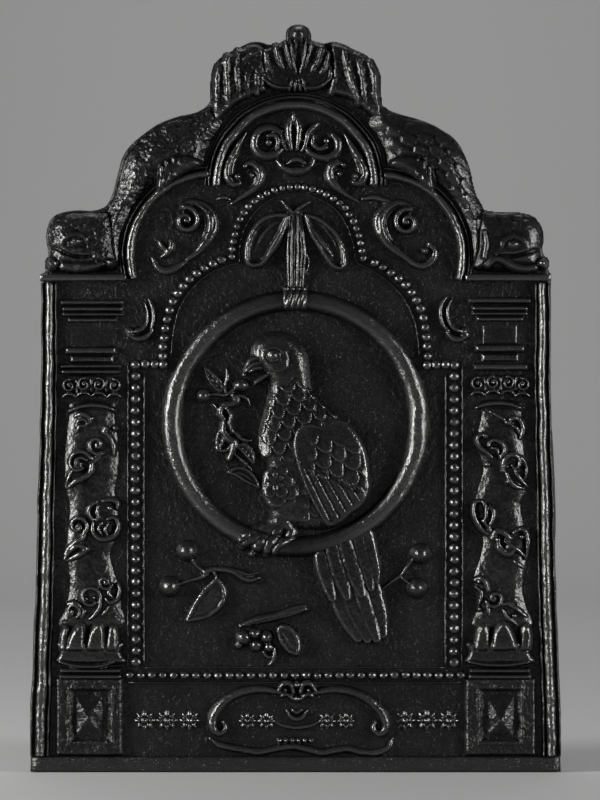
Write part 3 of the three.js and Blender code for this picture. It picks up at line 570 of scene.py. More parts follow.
def cast_plate():
    """The board: a rounded arris in front, sides a little uneven, and a plain flat back."""
    outline = np.vstack([smooth_line(points, 4) for points in (PLATE_LEFT, KNOB, PLATE_RIGHT[::-1])]
                        + [[(x, SHEET_FOOT) for x in np.linspace(552, 40, 60)]])
    count = len(outline)
    # Each level of the side: how far inside the outline it runs, and its height.
    levels = [(3.2, 0.0), (1.6, -0.35), (0.5, -1.4), (0.0, -3.2), (0.1, -9.0), (0.0, -16.0), (0.4, -22.0),
        (1.6, FACE - BACK)]
    rings = []
    for inset, height in levels:
        ring = offset_loop(outline, inset)
        if -23 < height < -2:
            ring[:, 0] += 0.12 * sample(LUMPS, ring[:, 0] + height * 3, ring[:, 1])
        ring = held_in(ring)
        rings.append(to_row(ring[:, 0], ring[:, 1], np.full(count, height)))
    corners = np.vstack(rings)
    faces = joined_rings(len(levels), count)
    # The face and the back are filled with a grid of corners, the face with its slow swell.
    for level, flip, rough, pitch in ((0, False, 0.22, 5.0), (len(levels) - 1, True, 0.0, 8.0)):
        inset, height = levels[level]
        loop = held_in(offset_loop(outline, inset))
        grid = Carving(32, 27, 555, 766, step=pitch)
        keep = grid.inside(loop[::2], smooth=False) > pitch * 0.6
        inner = np.stack([grid.x[keep], grid.y[keep]], axis=1)
        edges = [(i, (i + 1) % count) for i in range(count)]
        flat = [Vector(place) for place in np.vstack([loop, inner])]
        places, _, triangles, sources, _, _ = delaunay_2d_cdt(flat, edges, [], 1, 1e-4)
        numbers, extra = [], []
        for place, source in zip(places, sources):
            rim = [corner for corner in source if corner < count]
            numbers.append(level * count + rim[0] if rim else len(corners) + len(extra))
            if not rim:
                extra.append(tuple(place))
        x, y = np.array(extra).T
        swell = np.clip(rough * sample(SWELL, x, y) + rough * 0.5 * sample(LUMPS, x, y), -0.6, 0.6)
        corners = np.vstack([corners, to_row(x, y, height + swell)])
        for triangle in triangles:
            face = [numbers[corner] for corner in triangle]
            faces.append(face[::-1] if flip else face)
    rubbed = np.full(len(corners), 0.3)
    turn_outwards(make_piece("plate", corners, faces, rubbed, GROUND, ["back_plate"]))


cast_plate()

# ---- Mouldings of the border ----

FOOT_SECTION = [(-8, SUNK), (-7.6, 2.6), (-6.4, 4.3), (-4.5, 4.9), (0, 4.8), (4.5, 4.9), (6.4, 4.4),
    (7.6, 2.8), (8, SUNK)]
sweep("foot_band", [(x, 763.9) for x in np.linspace(32.5, 558.5, 100)], FOOT_SECTION, ["foot_rail"], GROUND)

# The edge mouldings grow wider towards the foot.
EDGE_TOP, EDGE_LENGTH = 283, 473
EDGE = [(31.5, 755.5), (32, 730), (33.5, 690), (35, 650), (37, 600), (38.5, 550), (39.5, 500), (41, 450),
    (42.3, 400), (42.8, 340), (43, EDGE_TOP)]
EDGE_SECTION = rounded((-5.6, 1.6, 4.2), (0.4, 4.8, 7.4), (7.0, 1.5, 4.6), gap=1.4)
for side, word in ((LEFT, "left"), (RIGHT, "right")):
    route = []
    for x, y in smooth_line(EDGE, 26):
        width = 1 + 0.28 * (y - EDGE_TOP) / EDGE_LENGTH
        route.append((x + 7 * width, y, width))
    route = mirrored(route, side, 295.8)[::-side]
    sweep("edge_ridges_" + word, route, EDGE_SECTION, ["edge_moulding_" + word], lumps=0.5)

TOP_SECTION = rounded((-2.6, 5.4, 7.0), (4.8, 2.0, 4.6), (8.2, 1.4, 3.2), gap=1.2)
sweep("arch_top", arc(295.3, 183.5, 81.2, 181.5, -1.5, 150), TOP_SECTION, ["top_arch"], lumps=0.3)
SHOULDER_SECTION = rounded((-1.6, 4.8, 7.2), (5.2, 1.7, 4.6), (8.0, 1.2, 2.6), gap=1.2)
for word, x, y, start, end in (("left", 211.0, 255.0, 197, 92), ("right", 381.5, 256.5, 88, -17)):
    route = arc(x, y, 82.5, start, end, 100)
    sweep("arch_" + word, route, SHOULDER_SECTION, ["shoulder_arch_" + word], lumps=0.3)

LEDGE_SECTION = [(-3.7, SUNK), (-3.6, 5.5), (-2.7, 7.6), (-1.2, 8.6), (1.2, 8.7), (2.6, 7.8), (3.5, 5.6),
    (3.7, SUNK)]
for word, start, end in (("left", 41.2, 126), ("right", 465.5, 550.2)):
    route = [(x, 277.8) for x in np.linspace(start, end, 30)]
    sweep("ledge_" + word, route, LEDGE_SECTION, ["cornice_" + word])


# ---- Beads ----

# Each level of a bead: its share of the bead's width, and its height.
BEAD_LEVELS = [(1.0, SUNK), (1.0, 0.9), (0.93, 2.6), (0.8, 4.2), (0.6, 5.5), (0.32, 6.4), (0.0, 6.8)]
BEAD_TOP = 6.8
BEAD_SIDES = 12


def beads(name, places, nodes, fillets=(), wide=5.2, tall=5.0):
    """A string of cast beads between thin fillets, each bead a little off true. A third number at a place
    is the bead's size."""
    dice = np.random.default_rng(len(name) * 7 + 1)
    corners, faces, rubbed = [], [], []
    for x, y, *size in places:
        size = size[0] if size else 1.0
        x, y = x + dice.normal(0, 0.18), y + dice.normal(0, 0.18)
        swell, rise = size * (1 + dice.normal(0, 0.03)), max(size, 0.8) * (1 + dice.normal(0, 0.04))
        start = len(corners)
        for reach, height in BEAD_LEVELS:
            for step in range(BEAD_SIDES if reach > 0 else 1):
                angle = 2 * math.pi * step / BEAD_SIDES
                corners.append((x + wide * swell * reach * math.cos(angle),
                                y + tall * swell * reach * math.sin(angle),
                                height * (rise if height > 0 else 1)))
                rubbed.append(0.15 + 0.85 * max(height, 0) / BEAD_TOP)
        faces.append([start + step for step in range(BEAD_SIDES)])
        tip = len(corners) - 1
        for here in range(start, tip, BEAD_SIDES):
            there = here + BEAD_SIDES
            for step in range(BEAD_SIDES):
                after = (step + 1) % BEAD_SIDES
                top = [there + after, there + step] if there < tip else [tip]
                faces.append([here + step, here + after] + top)
    for route, half, rise in fillets:
        line = smooth_line(route, 8)
        ahead = np.gradient(line, axis=0)
        ahead /= np.hypot(ahead[:, 0], ahead[:, 1])[:, None]
        start = len(corners)
        section = [(-1.25, SUNK), (-0.9, rise * 0.6), (-0.4, rise),
                   (0.4, rise), (0.9, rise * 0.6), (1.25, SUNK)]
        for (x, y), (dx, dy) in zip(line, ahead):
            for offset, height in section:
                wave = 0.12 * float(sample(LUMPS, np.array(x), np.array(y))) if height > 0 else 0
                corners.append((x + dy * offset * half, y - dx * offset * half, height + wave))
                rubbed.append(0.5 if height > 0 else 0)
        count = len(section)
        faces += joined_rings(len(line), count, start)
        faces.append([start + point for point in range(count)])
        faces.append([len(corners) - 1 - point for point in range(count)])
    turn_outwards(make_piece(name, to_row(*np.array(corners).T), faces, rubbed, RUBBED, nodes))


def spaced(points, pitch):
    """Places at even steps along a smooth line."""
    line = smooth_line(points, 24)
    run = np.concatenate([[0], np.cumsum(np.hypot(*np.diff(line, axis=0).T))])
    count = max(int(round(run[-1] / pitch)), 1)
    steps = np.linspace(0, run[-1], count + 1)
    return list(zip(np.interp(steps, run, line[:, 0]), np.interp(steps, run, line[:, 1])))


ARCH_BEADS = [(232, 257), (233, 246), (235.2, 235), (238, 224.5), (242.7, 214.8), (249, 206.6), (256, 200),
    (264, 195), (273, 191), (283, 188.2), (293, 187), (303, 187.2), (314, 189.2), (326, 194.3),
    (336, 200.4), (344.5, 207.7), (351, 217), (356, 227), (359.3, 237.5), (361.5, 248), (363.5, 258.5)]
LEFT_WING = [(221.5, 260), (210.8, 265), (200.5, 271), (191.3, 277.7), (183.5, 285.7), (176.7, 295),
    (171.6, 304.7), (168.2, 314.8), (165.8, 324.8), (164.3, 335.3), (163.4, 346), (163.2, 356.5)]
RIGHT_WING = [(374.5, 263), (384.5, 268.7), (394, 275), (402.7, 282.7), (411, 291.5), (417, 301),
    (421.4, 311), (424.3, 321.5), (426, 332.5), (426.8, 344), (427.2, 356)]
canopy = [(x, y, 0.82) for x, y in spaced(ARCH_BEADS, 7.6)]
canopy += spaced(LEFT_WING, 9.5) + spaced(RIGHT_WING, 9.5)
beads("beads_canopy", canopy, ["bead_canopy"],
    [([(239.5, 262), (240, 248), (243, 234), (249, 221), (258.5, 208.5), (271, 199.5), (288, 194.7),
    (305, 194.7), (321, 200), (335, 209), (345, 222), (351, 237), (354, 250), (355.5, 262)], 0.8, 1.7),
    ([(239.5, 262.5), (227, 266), (213, 271.5), (201, 279.5), (191, 289.5), (183, 301), (177.5, 313.5),
    (174, 327), (172, 341), (171.3, 357)], 0.8, 1.7),
    ([(355.5, 262.5), (369, 269), (382, 277), (393.5, 286.5), (403.5, 298), (410.5, 311), (415.5, 325),
    (418, 340), (418.8, 357)], 0.8, 1.7)])
beads("beads_left", [(163.5, 364.6), (154.5, 364.3), (145.5, 364.2), (135.9, 364.8)] + spaced([(136, 376.3),
    (135.7, 450), (135.6, 520), (135.9, 600), (136.2, 662)], 11.45), ["bead_column_left"],
    [([(144.2, 371.5), (143.9, 450), (143.6, 540), (143.7, 620), (144, 665)], 1.1, 2.9),
    ([(128.4, 362), (128, 450), (127.9, 560), (128, 672)], 0.9, 1.8)], wide=5.6, tall=5.2)
beads("beads_right", [(427, 365.3), (436, 365), (445, 364.8), (454.2, 364.9)] + spaced([(454, 376.3),
    (454.1, 440), (454.2, 520), (454, 600), (453.8, 662.8)], 11.45), ["bead_column_right"],
    [([(445.8, 373), (445.6, 450), (445.8, 540), (445.4, 620), (445.6, 666)], 1.1, 2.6),
    ([(462, 362), (462, 450), (462.2, 560), (461.8, 672)], 1.0, 2.4)], wide=5.6, tall=5.2)
beads("beads_row", spaced([(130, 675), (220, 675.3), (300, 675.2), (380, 675), (460.5, 675)], 11.0),
    ["bead_row"], [([(144, 667.6), (220, 667.3), (300, 667.7), (380, 667.4), (445, 667.5)], 0.9, 2.0),
    ([(128, 682.4), (220, 682.7), (300, 682.4), (380, 682.8), (463, 682.4)], 0.9, 2.0)], wide=5.2, tall=4.3)

# ---- Hoop ----

hoop_section = [(10.8 * share, 9.9 * (1 - abs(share) ** 2.7)) for share in np.linspace(-0.99, 0.99, 17)]
hoop_section = [(-10.8, SUNK)] + hoop_section + [(10.8, SUNK)]
hoop_route = [(HOOP_X + 123.6 * math.cos(a), HOOP_Y + 123.1 * math.sin(a))
              for a in np.linspace(0, 2 * math.pi, 360, endpoint=False)]
hoop = sweep("hoop_bar", hoop_route, hoop_section, ["hoop"], closed=True, lumps=0.2)
# Painted shade: its top and its foot get a darker, duller colour than its two sides, standing in for the
# shade where the side lamps' light does not reach.
for vertex, wear_and_shade in zip(hoop.data.vertices, hoop.data.attributes["rubbed"].data):
    wear_and_shade.value *= min(1.0, 0.3 + abs(vertex.co.x) / 0.12)


# ---- Shell and drapery of the crest ----

def fold(carving, points, rise, full=1.8):
    carving.rib([(x, y, width * 1.25) for x, y, width in points], rise, full=full, taper=0.8)


def carve_shell():
    shell = Carving(250, 22, 346, 94, step=0.8)
    shell.form([(262, 52), (270, 47), (282, 43), (298, 38), (314, 42), (326, 46), (332, 56), (333, 70),
        (329, 82), (318, 90), (298, 92), (278, 90), (266, 83), (261, 68)], 8.2, 6)
    lobes = [([(268, 80, 3.5), (262.5, 73, 5.0), (261.5, 64, 4.6)], 9.0),
        ([(277, 78, 3.0), (268, 66, 5.6), (265.5, 53.5, 5.0)], 11.0),
        ([(286, 76, 2.6), (279.5, 61, 5.4), (276, 48.5, 5.2)], 11.5),
        ([(293, 74, 2.2), (288.5, 58, 4.4), (286, 45, 4.4)], 11.5),
        ([(326, 82, 3.5), (330.5, 76, 4.6), (329.5, 68, 4.2)], 9.0),
        ([(316, 80, 3.0), (324.5, 68, 5.4), (328, 55, 5.0)], 11.0),
        ([(309, 77, 2.6), (317, 62, 5.6), (321, 49.5, 5.4)], 12.0),
        ([(303, 74, 2.2), (308, 58, 4.4), (311, 46, 4.4)], 11.5)]
    for points, rise in lobes:
        shell.rib(points, rise, full=1.9, taper=0.6)
    shell.rib([(298.2, 76, 2.6), (298.3, 62, 6.0), (298.4, 46, 8.0), (298.4, 38, 6.5)], 11.0, full=3.0)
    shell.groove([(298.2, 74, 1.4), (298.3, 60, 3.4), (298.4, 45, 4.6)], 3.4)
    shell.rib([(290.4, 41, 1.8), (291.8, 54, 2.2), (294.6, 68, 1.6)], 12.8)
    shell.rib([(306.4, 41, 1.8), (305.0, 54, 2.2), (302.0, 68, 1.6)], 12.8)
    shell.dome(298.4, 35.6, 10.4, 13.6, full=2.4)
    shell.rib([(264, 80, 2.6), (274, 86.5, 3.2), (287, 88.5, 3.0), (297.5, 85, 3.2), (308, 88.5, 3.0),
        (320, 87, 3.2), (331, 79, 2.6)], 10.2)
    for x, tilt in ((291.6, -2.2), (295.6, -0.7), (299.6, 0.8), (303.4, 2.2)):
        shell.rib([(x - tilt * 0.6, 78, 1.4), (x, 83.5, 2.2), (x + tilt, 91.2, 1.7)], 11.4)
    shell.make("crest_shell_carved", ["crest_shell"], lumps=0.35, material=PITTED)


def carve_drapery():
    left = Carving(205, 42, 268, 122, step=1.0)
    left.form([(212.4, 118), (211.8, 96), (212.5, 74), (219.5, 61.5), (232, 53.5), (246, 46), (257, 44.5),
        (265.5, 50), (266, 64), (267, 84), (266, 92), (252, 97), (238, 104), (226, 114), (219, 121)], 8.4,
        5)
    for points, rise in (([(219, 68, 4), (217.5, 88, 5), (218, 110, 4)], 10.5),
            ([(228, 58, 4), (227, 78, 5), (228.5, 104, 4)], 11.5),
            ([(238.5, 53, 4), (237, 72, 5), (239, 97, 4)], 11.0),
            ([(247, 70, 4), (247, 82, 4.8), (248.5, 95, 3.5)], 10.5),
            ([(257.5, 71, 4), (257, 82, 4.6), (257, 93, 3.5)], 10.5),
            ([(241, 66, 4), (250, 56, 6), (260, 52, 5)], 11.0)):
        fold(left, points, rise)
    left.make("drapery_left", ["tail_fin_left"], lumps=0.7, pits=0.4, material=PITTED)
    right = Carving(326, 40, 388, 120, step=1.0)
    right.form([(331, 44), (342, 45), (354, 51), (365, 56), (372.5, 64), (376.8, 76), (377, 92),
        (379.5, 108), (384, 116), (373, 118), (360, 107), (346, 98.5), (330, 94), (330.5, 78), (331, 64),
        (329, 52)], 8.4, 5)
    for points, rise in (([(337, 54, 3.5), (339, 68, 4), (334.5, 82, 5), (331.5, 93, 4)], 9.5),
            ([(343, 51, 3.5), (347.5, 68, 5), (352, 84, 5), (358.5, 104, 3.5)], 12.5),
            ([(357, 58, 4), (361, 74, 5), (363, 90, 5), (367, 108, 3.5)], 11.5),
            ([(369, 64, 4), (374, 78, 4.6), (374.5, 94, 4.4), (378, 111, 3)], 11.0)):
        fold(right, points, rise)
    right.make("drapery_right", ["tail_fin_right"], lumps=0.5, pits=0.3, material=PITTED)


# ---- Dolphins on the shoulders ----

def scale_rows(u, v, pitch, width, tip=0.45, reach=1.9):
    """Overlapping scales like roof tiles. Gives a height from 0 to 1 that grows to each scale's tip, how
    far across its scale each place is, and how far along."""
    height = np.zeros(u.shape)
    across, along = np.zeros(u.shape), np.zeros(u.shape)
    open_places = np.ones(u.shape, bool)
    for back in (2, 1, 0):
        row = np.floor(u / pitch) - back
        shift = np.where(row % 2 == 0, 0.0, width / 2)
        dv = (v - shift) / width
        dv = (dv - np.round(dv)) * 2
        du = u - row * pitch
        length = pitch * reach * (1 - tip + tip * np.sqrt(np.clip(1 - dv ** 2, 0, 1)))
        hit = open_places & (du < length) & (du >= 0)
        share = np.clip(du / length, 0, 1)
        height = np.where(hit, share, height)
        across = np.where(hit, dv, across)
        along = np.where(hit, share, along)
        open_places &= ~hit
    return height, across, along


def carve_dolphin(side):
    word = "left" if side == LEFT else "right"
    middle = 295.5 if side == LEFT else 295.6
    box = (42, 100, 240, 274)
    if side == RIGHT:
        box = (2 * middle - box[2], box[1], 2 * middle - box[0], box[3])
    fish = Carving(*box, step=1.0)
    on_side = lambda points: mirrored(points, side, middle)
    body = [(119, 270), (121, 252), (124, 234), (132, 212), (145, 193), (163, 178.5), (184, 169.5),
        (203, 166.5), (206.5, 154), (213, 139), (222, 125.5), (218, 112), (209, 107), (202, 111.5),
        (188, 117), (172, 121), (157, 127.5), (142, 138.5), (129, 153), (122, 170), (119, 184),
        (115.5, 196), (109.5, 207), (104, 222), (108, 250)]
    fish.form(on_side(body), 12.5, 24)
    head = [(48.5, 270), (49.5, 262), (50.5, 252), (49, 240), (50, 229), (57, 218.5), (68, 214),
        (82, 212.5), (98, 212.5), (112, 212), (117, 230), (116, 250), (118, 268), (104, 272), (80, 272.5),
        (60, 272)]
    fish.form(on_side(head), 12.4, 18)
    if side == RIGHT:
        # Scales in rows round the shoulder's middle; the left one's are worn away.
        hub_x, hub_y = 2 * middle - 211.0, 255
        reach = np.hypot(fish.x - hub_x, fish.y - hub_y)
        degrees = np.degrees(np.arctan2(hub_y - fish.y, fish.x - hub_x))
        _, across, along = scale_rows((degrees - 14) * 2.3, reach - 97.5, 17.0, 13.0)
        edge = (np.clip((fish.height - 3) / 5, 0, 1) * np.clip((fish.y - 118) / 20, 0, 1)
                * np.clip((228 - fish.y) / 8, 0, 1))
        puff = np.clip(1 - across ** 2, 0, 1) ** 0.5 * (0.35 + 0.65 * along)
        fish.height += np.where(reach > 94, edge * 4.4 * (puff - 0.82), 0)
    # The fin lobe lies on the body, ribbed at its end.
    lobe = [(158, 190), (158, 177), (162, 166), (171, 158), (184, 155.5), (196, 158.5), (200.5, 165),
        (188, 171), (176, 178), (166, 187)]
    fin = fish.inside(on_side(lobe))
    fish.raise_to(np.where(fin > -2, 8.0 + 6.0 * rounding(fin, 8) + np.minimum(fin, 0) * 4, SUNK))
    for points in ([(161.5, 168, 1.6), (162.5, 177, 2.2), (160.5, 187, 1.6)],
            [(167.5, 163, 1.6), (169, 171, 2.2), (167.5, 181, 1.6)], [(174, 160, 1.4), (175.5, 167, 2.0),
            (174.5, 176, 1.4)]):
        fish.rib(on_side(points), 1.8, lift=12.4, full=2)
    # Eye between its lids, mouth and jaw.
    (eye_x, eye_y, _), = on_side([(76.5, 242.5, 0)])
    if side == RIGHT:
        eye_x, eye_y = 512.5, 245.0
    fish.dome(eye_x, eye_y, 10.5, 1.6, lift=11.6, tall=8.0)
    fish.dome(eye_x, eye_y, 4.6, 2.6, lift=12.8, tall=3.8)
    bow = lambda points: [(eye_x + side * x, eye_y + y, width) for x, y, width in points]
    fish.rib(bow([(-13, 5, 1.2), (-9, -4, 2.4), (0, -8, 2.8), (9, -5, 2.4), (14, 2, 1.2)]), 1.9, lift=12.2)
    fish.rib(bow([(-9, 6, 1.0), (-1, 8, 1.8), (7, 6.5, 1.2)]), 1.3, lift=12.2)
    if side == LEFT:
        fish.groove([(49, 247, 1.8), (58, 249, 2.6), (69, 255, 2.6), (82, 257.5, 2.2), (94, 256, 1.4)], 3.4)
        fish.rib([(104, 263.5, 2), (92, 266, 3.4), (78, 267, 3.8), (64, 266, 3.4)], 2.4, lift=10.6)
        fish.dome(111, 263.5, 6.8, 13.6)
        fish.dome(53.6, 264.3, 8.0, 15.0, full=2.4)
    else:
        fish.groove([(543, 250, 1.8), (535, 250.5, 2.6), (525, 254, 2.6), (512, 257, 2.4),
            (497, 255.5, 1.4)], 4.2)
        fish.rib([(487, 266, 2), (494, 259.5, 3.0), (502, 260.5, 3.2), (512, 265.5, 3.4), (523, 268.5, 3.2),
            (534, 268, 2.6)], 2.8, lift=11.0)
        fish.rib([(484, 232, 1.4), (486, 245, 2.6), (483.5, 258, 1.8)], 2.2, lift=11.0)
        fish.dome(541.6, 263.6, 6.8, 14.2, full=2.4)
    # The left one is rough in patches, the right one is nearly smooth.
    worn = 0.6 if side == LEFT else 0.2
    patches = np.clip(sample(SWELL, fish.x + 40, fish.y) * 0.7 + 0.45, 0, 1) * (1 if side == LEFT else 0.3)
    fish.height += np.where(fish.height > 2, 0.34 * patches * sample(PITS, fish.y, fish.x), 0)
    fish.make("dolphin_carved_" + word, ["dolphin_" + word], lumps=worn, pits=0.1, material=PITTED, soft=1)


# ---- Leaf work and scrolls ----

def carve_palmette():
    leaf = Carving(246, 110, 346, 180, step=0.8, spread=1.25)
    leaf.rib([(291.4, 149, 2.6), (289.4, 137, 4.0), (288.8, 127, 4.0), (290.6, 118, 1.8)], 7.2)
    leaf.rib([(297, 149, 2.6), (298.8, 137, 4.0), (299.2, 127, 4.0), (296.6, 118, 1.8)], 7.2)
    leaf.rib([(294, 124, 2.2), (293.6, 117, 2.8), (293.4, 112, 1.4)], 5.6)
    leaf.dome(283.8, 141, 3.4, 5.4)
    leaf.dome(303.8, 141, 3.0, 5.0)
    leaf.dome(281.5, 131, 2.8, 4.6)
    for points, rise in (([(287, 150, 1.8), (283.5, 143, 2.8), (281, 134, 3.4), (272, 128.5, 4.2),
            (261.5, 130.5, 4.6), (255.5, 139, 4.8), (256, 149, 4.8), (263.5, 155.5, 4.6), (274, 155, 4.2),
            (281, 150, 3.0)], 6.2), ([(276.5, 148, 2.2), (278, 141, 3.2), (274.5, 135.5, 3.2),
            (268, 136, 2.8)], 6.6), ([(302, 151, 1.8), (306, 143, 2.8), (308, 134, 3.6),
            (313.5, 127.5, 3.4), (318.5, 123.5, 1.6)], 6.6),
            ([(304, 146, 2.2), (310, 152.5, 3.6), (319, 156.5, 4.4), (329, 156.5, 4.6), (337, 151, 4.6),
            (338, 142, 4.2), (333, 135.5, 3.2)], 6.2), ([(313, 136, 2.2), (313, 144, 3.0), (319, 149, 3.2),
            (326, 147.5, 2.8)], 6.4)):
        leaf.rib(points, rise)
    leaf.groove([(272, 132.5, 0.8), (263.5, 134, 1.4), (259.5, 140.5, 1.6), (260.5, 147.5, 1.4),
        (267, 151.5, 0.8)], 2.2)
    leaf.groove([(311, 150, 0.8), (320, 153.5, 1.4), (328.5, 153, 1.6), (334, 148, 1.2)], 2.2)
    leaf.dome(269, 142.8, 5.0, 6.0)
    leaf.dome(326.5, 141, 4.6, 5.6)
    leaf.rib([(277.5, 161.5, 1.6), (282.5, 166.5, 3.4), (290.5, 170, 4.6), (298, 171, 5.0),
        (305.5, 169, 4.4), (311.5, 164.5, 3.4), (314.5, 157.5, 1.6)], 6.2)
    leaf.rib([(288.5, 163.5, 1.6), (293.5, 160.2, 3.0), (299.5, 160.2, 3.0), (304.8, 164, 1.6)], 6.0)
    leaf.groove([(284, 165.2, 0.9), (291, 166.6, 1.6), (298, 166, 1.7), (304, 166.8, 1.6),
        (310, 163.8, 0.9)], 3.0)
    leaf.make("palmette_carved", ["palmette"], lumps=0.26)


def carve_side_scrolls():
    left = Carving(214, 128, 270, 208, step=0.8, spread=1.2)
    left.rib([(246.5, 132.5, 1.2), (240, 143, 3.0), (234, 154, 4.4), (229, 166, 5.6), (228, 176, 5.8),
        (232.5, 183, 4.6), (239, 183.5, 3.4)], 7.4)
    left.groove([(235, 157, 0.8), (231, 167, 1.4), (230.5, 175, 1.4)], 2.0)
    left.dome(237.6, 177, 5.0, 8.2)
    left.rib([(244.5, 165.5, 2.4), (251.5, 163.5, 3.4), (258.3, 168, 4.6), (260, 176, 5.2),
        (256.5, 185, 4.8), (249.5, 192, 3.6), (240, 198.5, 2.4), (231, 204, 1.2)], 7.0)
    left.dome(245, 166.5, 3.4, 6.6)
    left.dome(252, 175.5, 4.2, 6.4)
    left.groove([(256.5, 171, 0.8), (258, 177, 1.4), (254.5, 184.5, 1.3), (248, 190, 0.8)], 1.8)
    left.make("side_scroll_left", ["tympanum_scroll_left"], lumps=0.26)
    right = Carving(320, 126, 378, 206, step=0.8, spread=1.2)
    right.rib([(344.5, 134.5, 1.2), (350, 144, 3.4), (356, 154, 4.8), (361.5, 165, 5.8), (364, 174.5, 6.0),
        (360.5, 182.5, 4.8), (354, 182.5, 3.4)], 7.6)
    right.groove([(355.5, 158, 0.8), (360, 168, 1.4), (361.5, 175, 1.3)], 2.0)
    right.dome(356, 176.5, 5.0, 8.4)
    right.dome(343.6, 165.3, 3.6, 7.0)
    right.rib([(344, 165, 2.4), (337, 163.2, 3.8), (330.8, 168, 5.0), (330.2, 177, 5.4), (335, 185, 4.6),
        (342, 191.5, 3.2), (350, 197, 2.0), (358, 201.5, 1.0)], 7.2)
    right.dome(339.2, 174, 4.0, 6.2)
    right.make("side_scroll_right", ["tympanum_scroll_right"], lumps=0.26)


def carve_shoulder_scrolls():
    left = Carving(140, 186, 236, 280, step=0.9, spread=1.1)
    left.rib([(184, 204, 2.0), (193, 203, 4.4), (203.5, 208.5, 6.4), (210, 218, 7.2), (211, 229, 6.8),
        (206.5, 241, 5.4), (197.5, 252, 3.6), (187, 260, 2.2)], 6.4, full=2.4)
    left.groove([(193, 205, 0.9), (202.5, 211.5, 1.5), (207.5, 221, 1.7), (206, 232, 1.5),
        (199.5, 243, 0.9)], 2.4)
    left.groove([(199, 203.5, 0.7), (208.5, 210.5, 1.0), (214, 220, 1.2), (213, 231, 0.9)], 1.4)
    left.rib(volute(186.2, 220.6, 100, -1.35, 2.6, 13.6, 3.7, 0.75), 7.6)
    left.dome(186.2, 220.6, 4.2, 8.0)
    left.rib([(186, 262, 2.4), (176, 268, 4.0), (166, 271, 4.4), (157.5, 267, 3.6), (152.5, 258, 2.0)], 4.6)
    left.rib([(171, 240, 2.0), (171.5, 247, 4.0), (167, 253.5, 3.6), (161.5, 257, 1.6)], 6.2)
    left.rib([(159, 241, 1.8), (163, 247.5, 3.4), (168, 251, 2.6)], 5.6)
    left.rib([(217, 199.5, 1.0), (224, 197.6, 2.4), (231, 200, 1.0)], 4.6)
    left.make("shoulder_volute_left", ["shoulder_scroll_left"], lumps=0.26)
    right = Carving(356, 186, 442, 280, step=0.9, spread=1.1)
    right.rib([(410, 205.5, 2.0), (399, 203.5, 4.4), (388, 209, 6.4), (381, 218.5, 7.2), (381.5, 230, 6.8),
        (387, 241.5, 5.6), (395, 250, 4.2), (405, 257.5, 3.4), (415.5, 264.5, 3.4), (425, 265.5, 3.6),
        (433, 259.5, 3.6), (434.5, 251, 3.2), (429.5, 244, 2.6)], 6.4, full=2.4)
    right.groove([(399, 205.5, 0.9), (389.5, 211.5, 1.5), (384.6, 221, 1.7), (386, 232, 1.5),
        (393, 243.5, 0.9)], 2.4)
    right.groove([(393, 203.5, 0.7), (383.5, 210.5, 1.0), (377.8, 220, 1.2), (379, 231, 0.9)], 1.4)
    right.rib(volute(407, 222.4, 80, 1.35, 2.6, 13.2, 3.7, 0.75), 7.6)
    right.dome(407, 222.4, 4.2, 8.0)
    right.dome(425.4, 251, 4.4, 7.4)
    right.rib([(362, 199, 1.2), (374, 197.6, 3.2), (386, 200.5, 2.6), (395, 202.5, 1.2)], 4.8)
    right.make("shoulder_volute_right", ["shoulder_scroll_right"], lumps=0.26)


def carve_consoles():
    left = Carving(122, 292, 162, 346, step=0.8, spread=1.15)
    left.rib([(149, 299, 1.4), (152.5, 308, 2.4), (153.5, 319, 2.6), (151.5, 329, 2.0)], 6.4)
    left.rib([(145, 303, 1.2), (148, 312, 2.0), (147.5, 322, 2.2), (142.5, 329, 2.6), (136, 331.5, 3.0)],
        6.0)
    left.dome(130.5, 332, 5.0, 7.4)
    left.rib([(152.5, 331, 2.0), (145, 337.5, 3.6), (136.5, 338.5, 3.2), (129, 335, 2.4)], 5.6)
    left.make("console_carved_left", ["console_leaf_left"], lumps=0.2)
    right = Carving(434, 290, 474, 346, step=0.8, spread=1.15)
    right.rib([(446.5, 297, 1.4), (441.5, 305, 2.4), (440.3, 315, 2.8), (443, 325, 2.4), (448.5, 331, 2.0)],
        6.4)
    right.rib([(451, 300, 1.0), (447.5, 308, 2.0), (447.5, 318, 2.2), (452, 327, 2.8), (458, 330.5, 3.0)],
        6.0)
    right.dome(463.5, 331.5, 5.2, 7.4)
    right.rib([(447, 333, 2.0), (453.5, 338.5, 3.8), (460.5, 339, 3.4), (467, 335, 2.4)], 5.6)
    right.make("console_carved_right", ["console_leaf_right"], lumps=0.2)


# ---- Ribbon ----

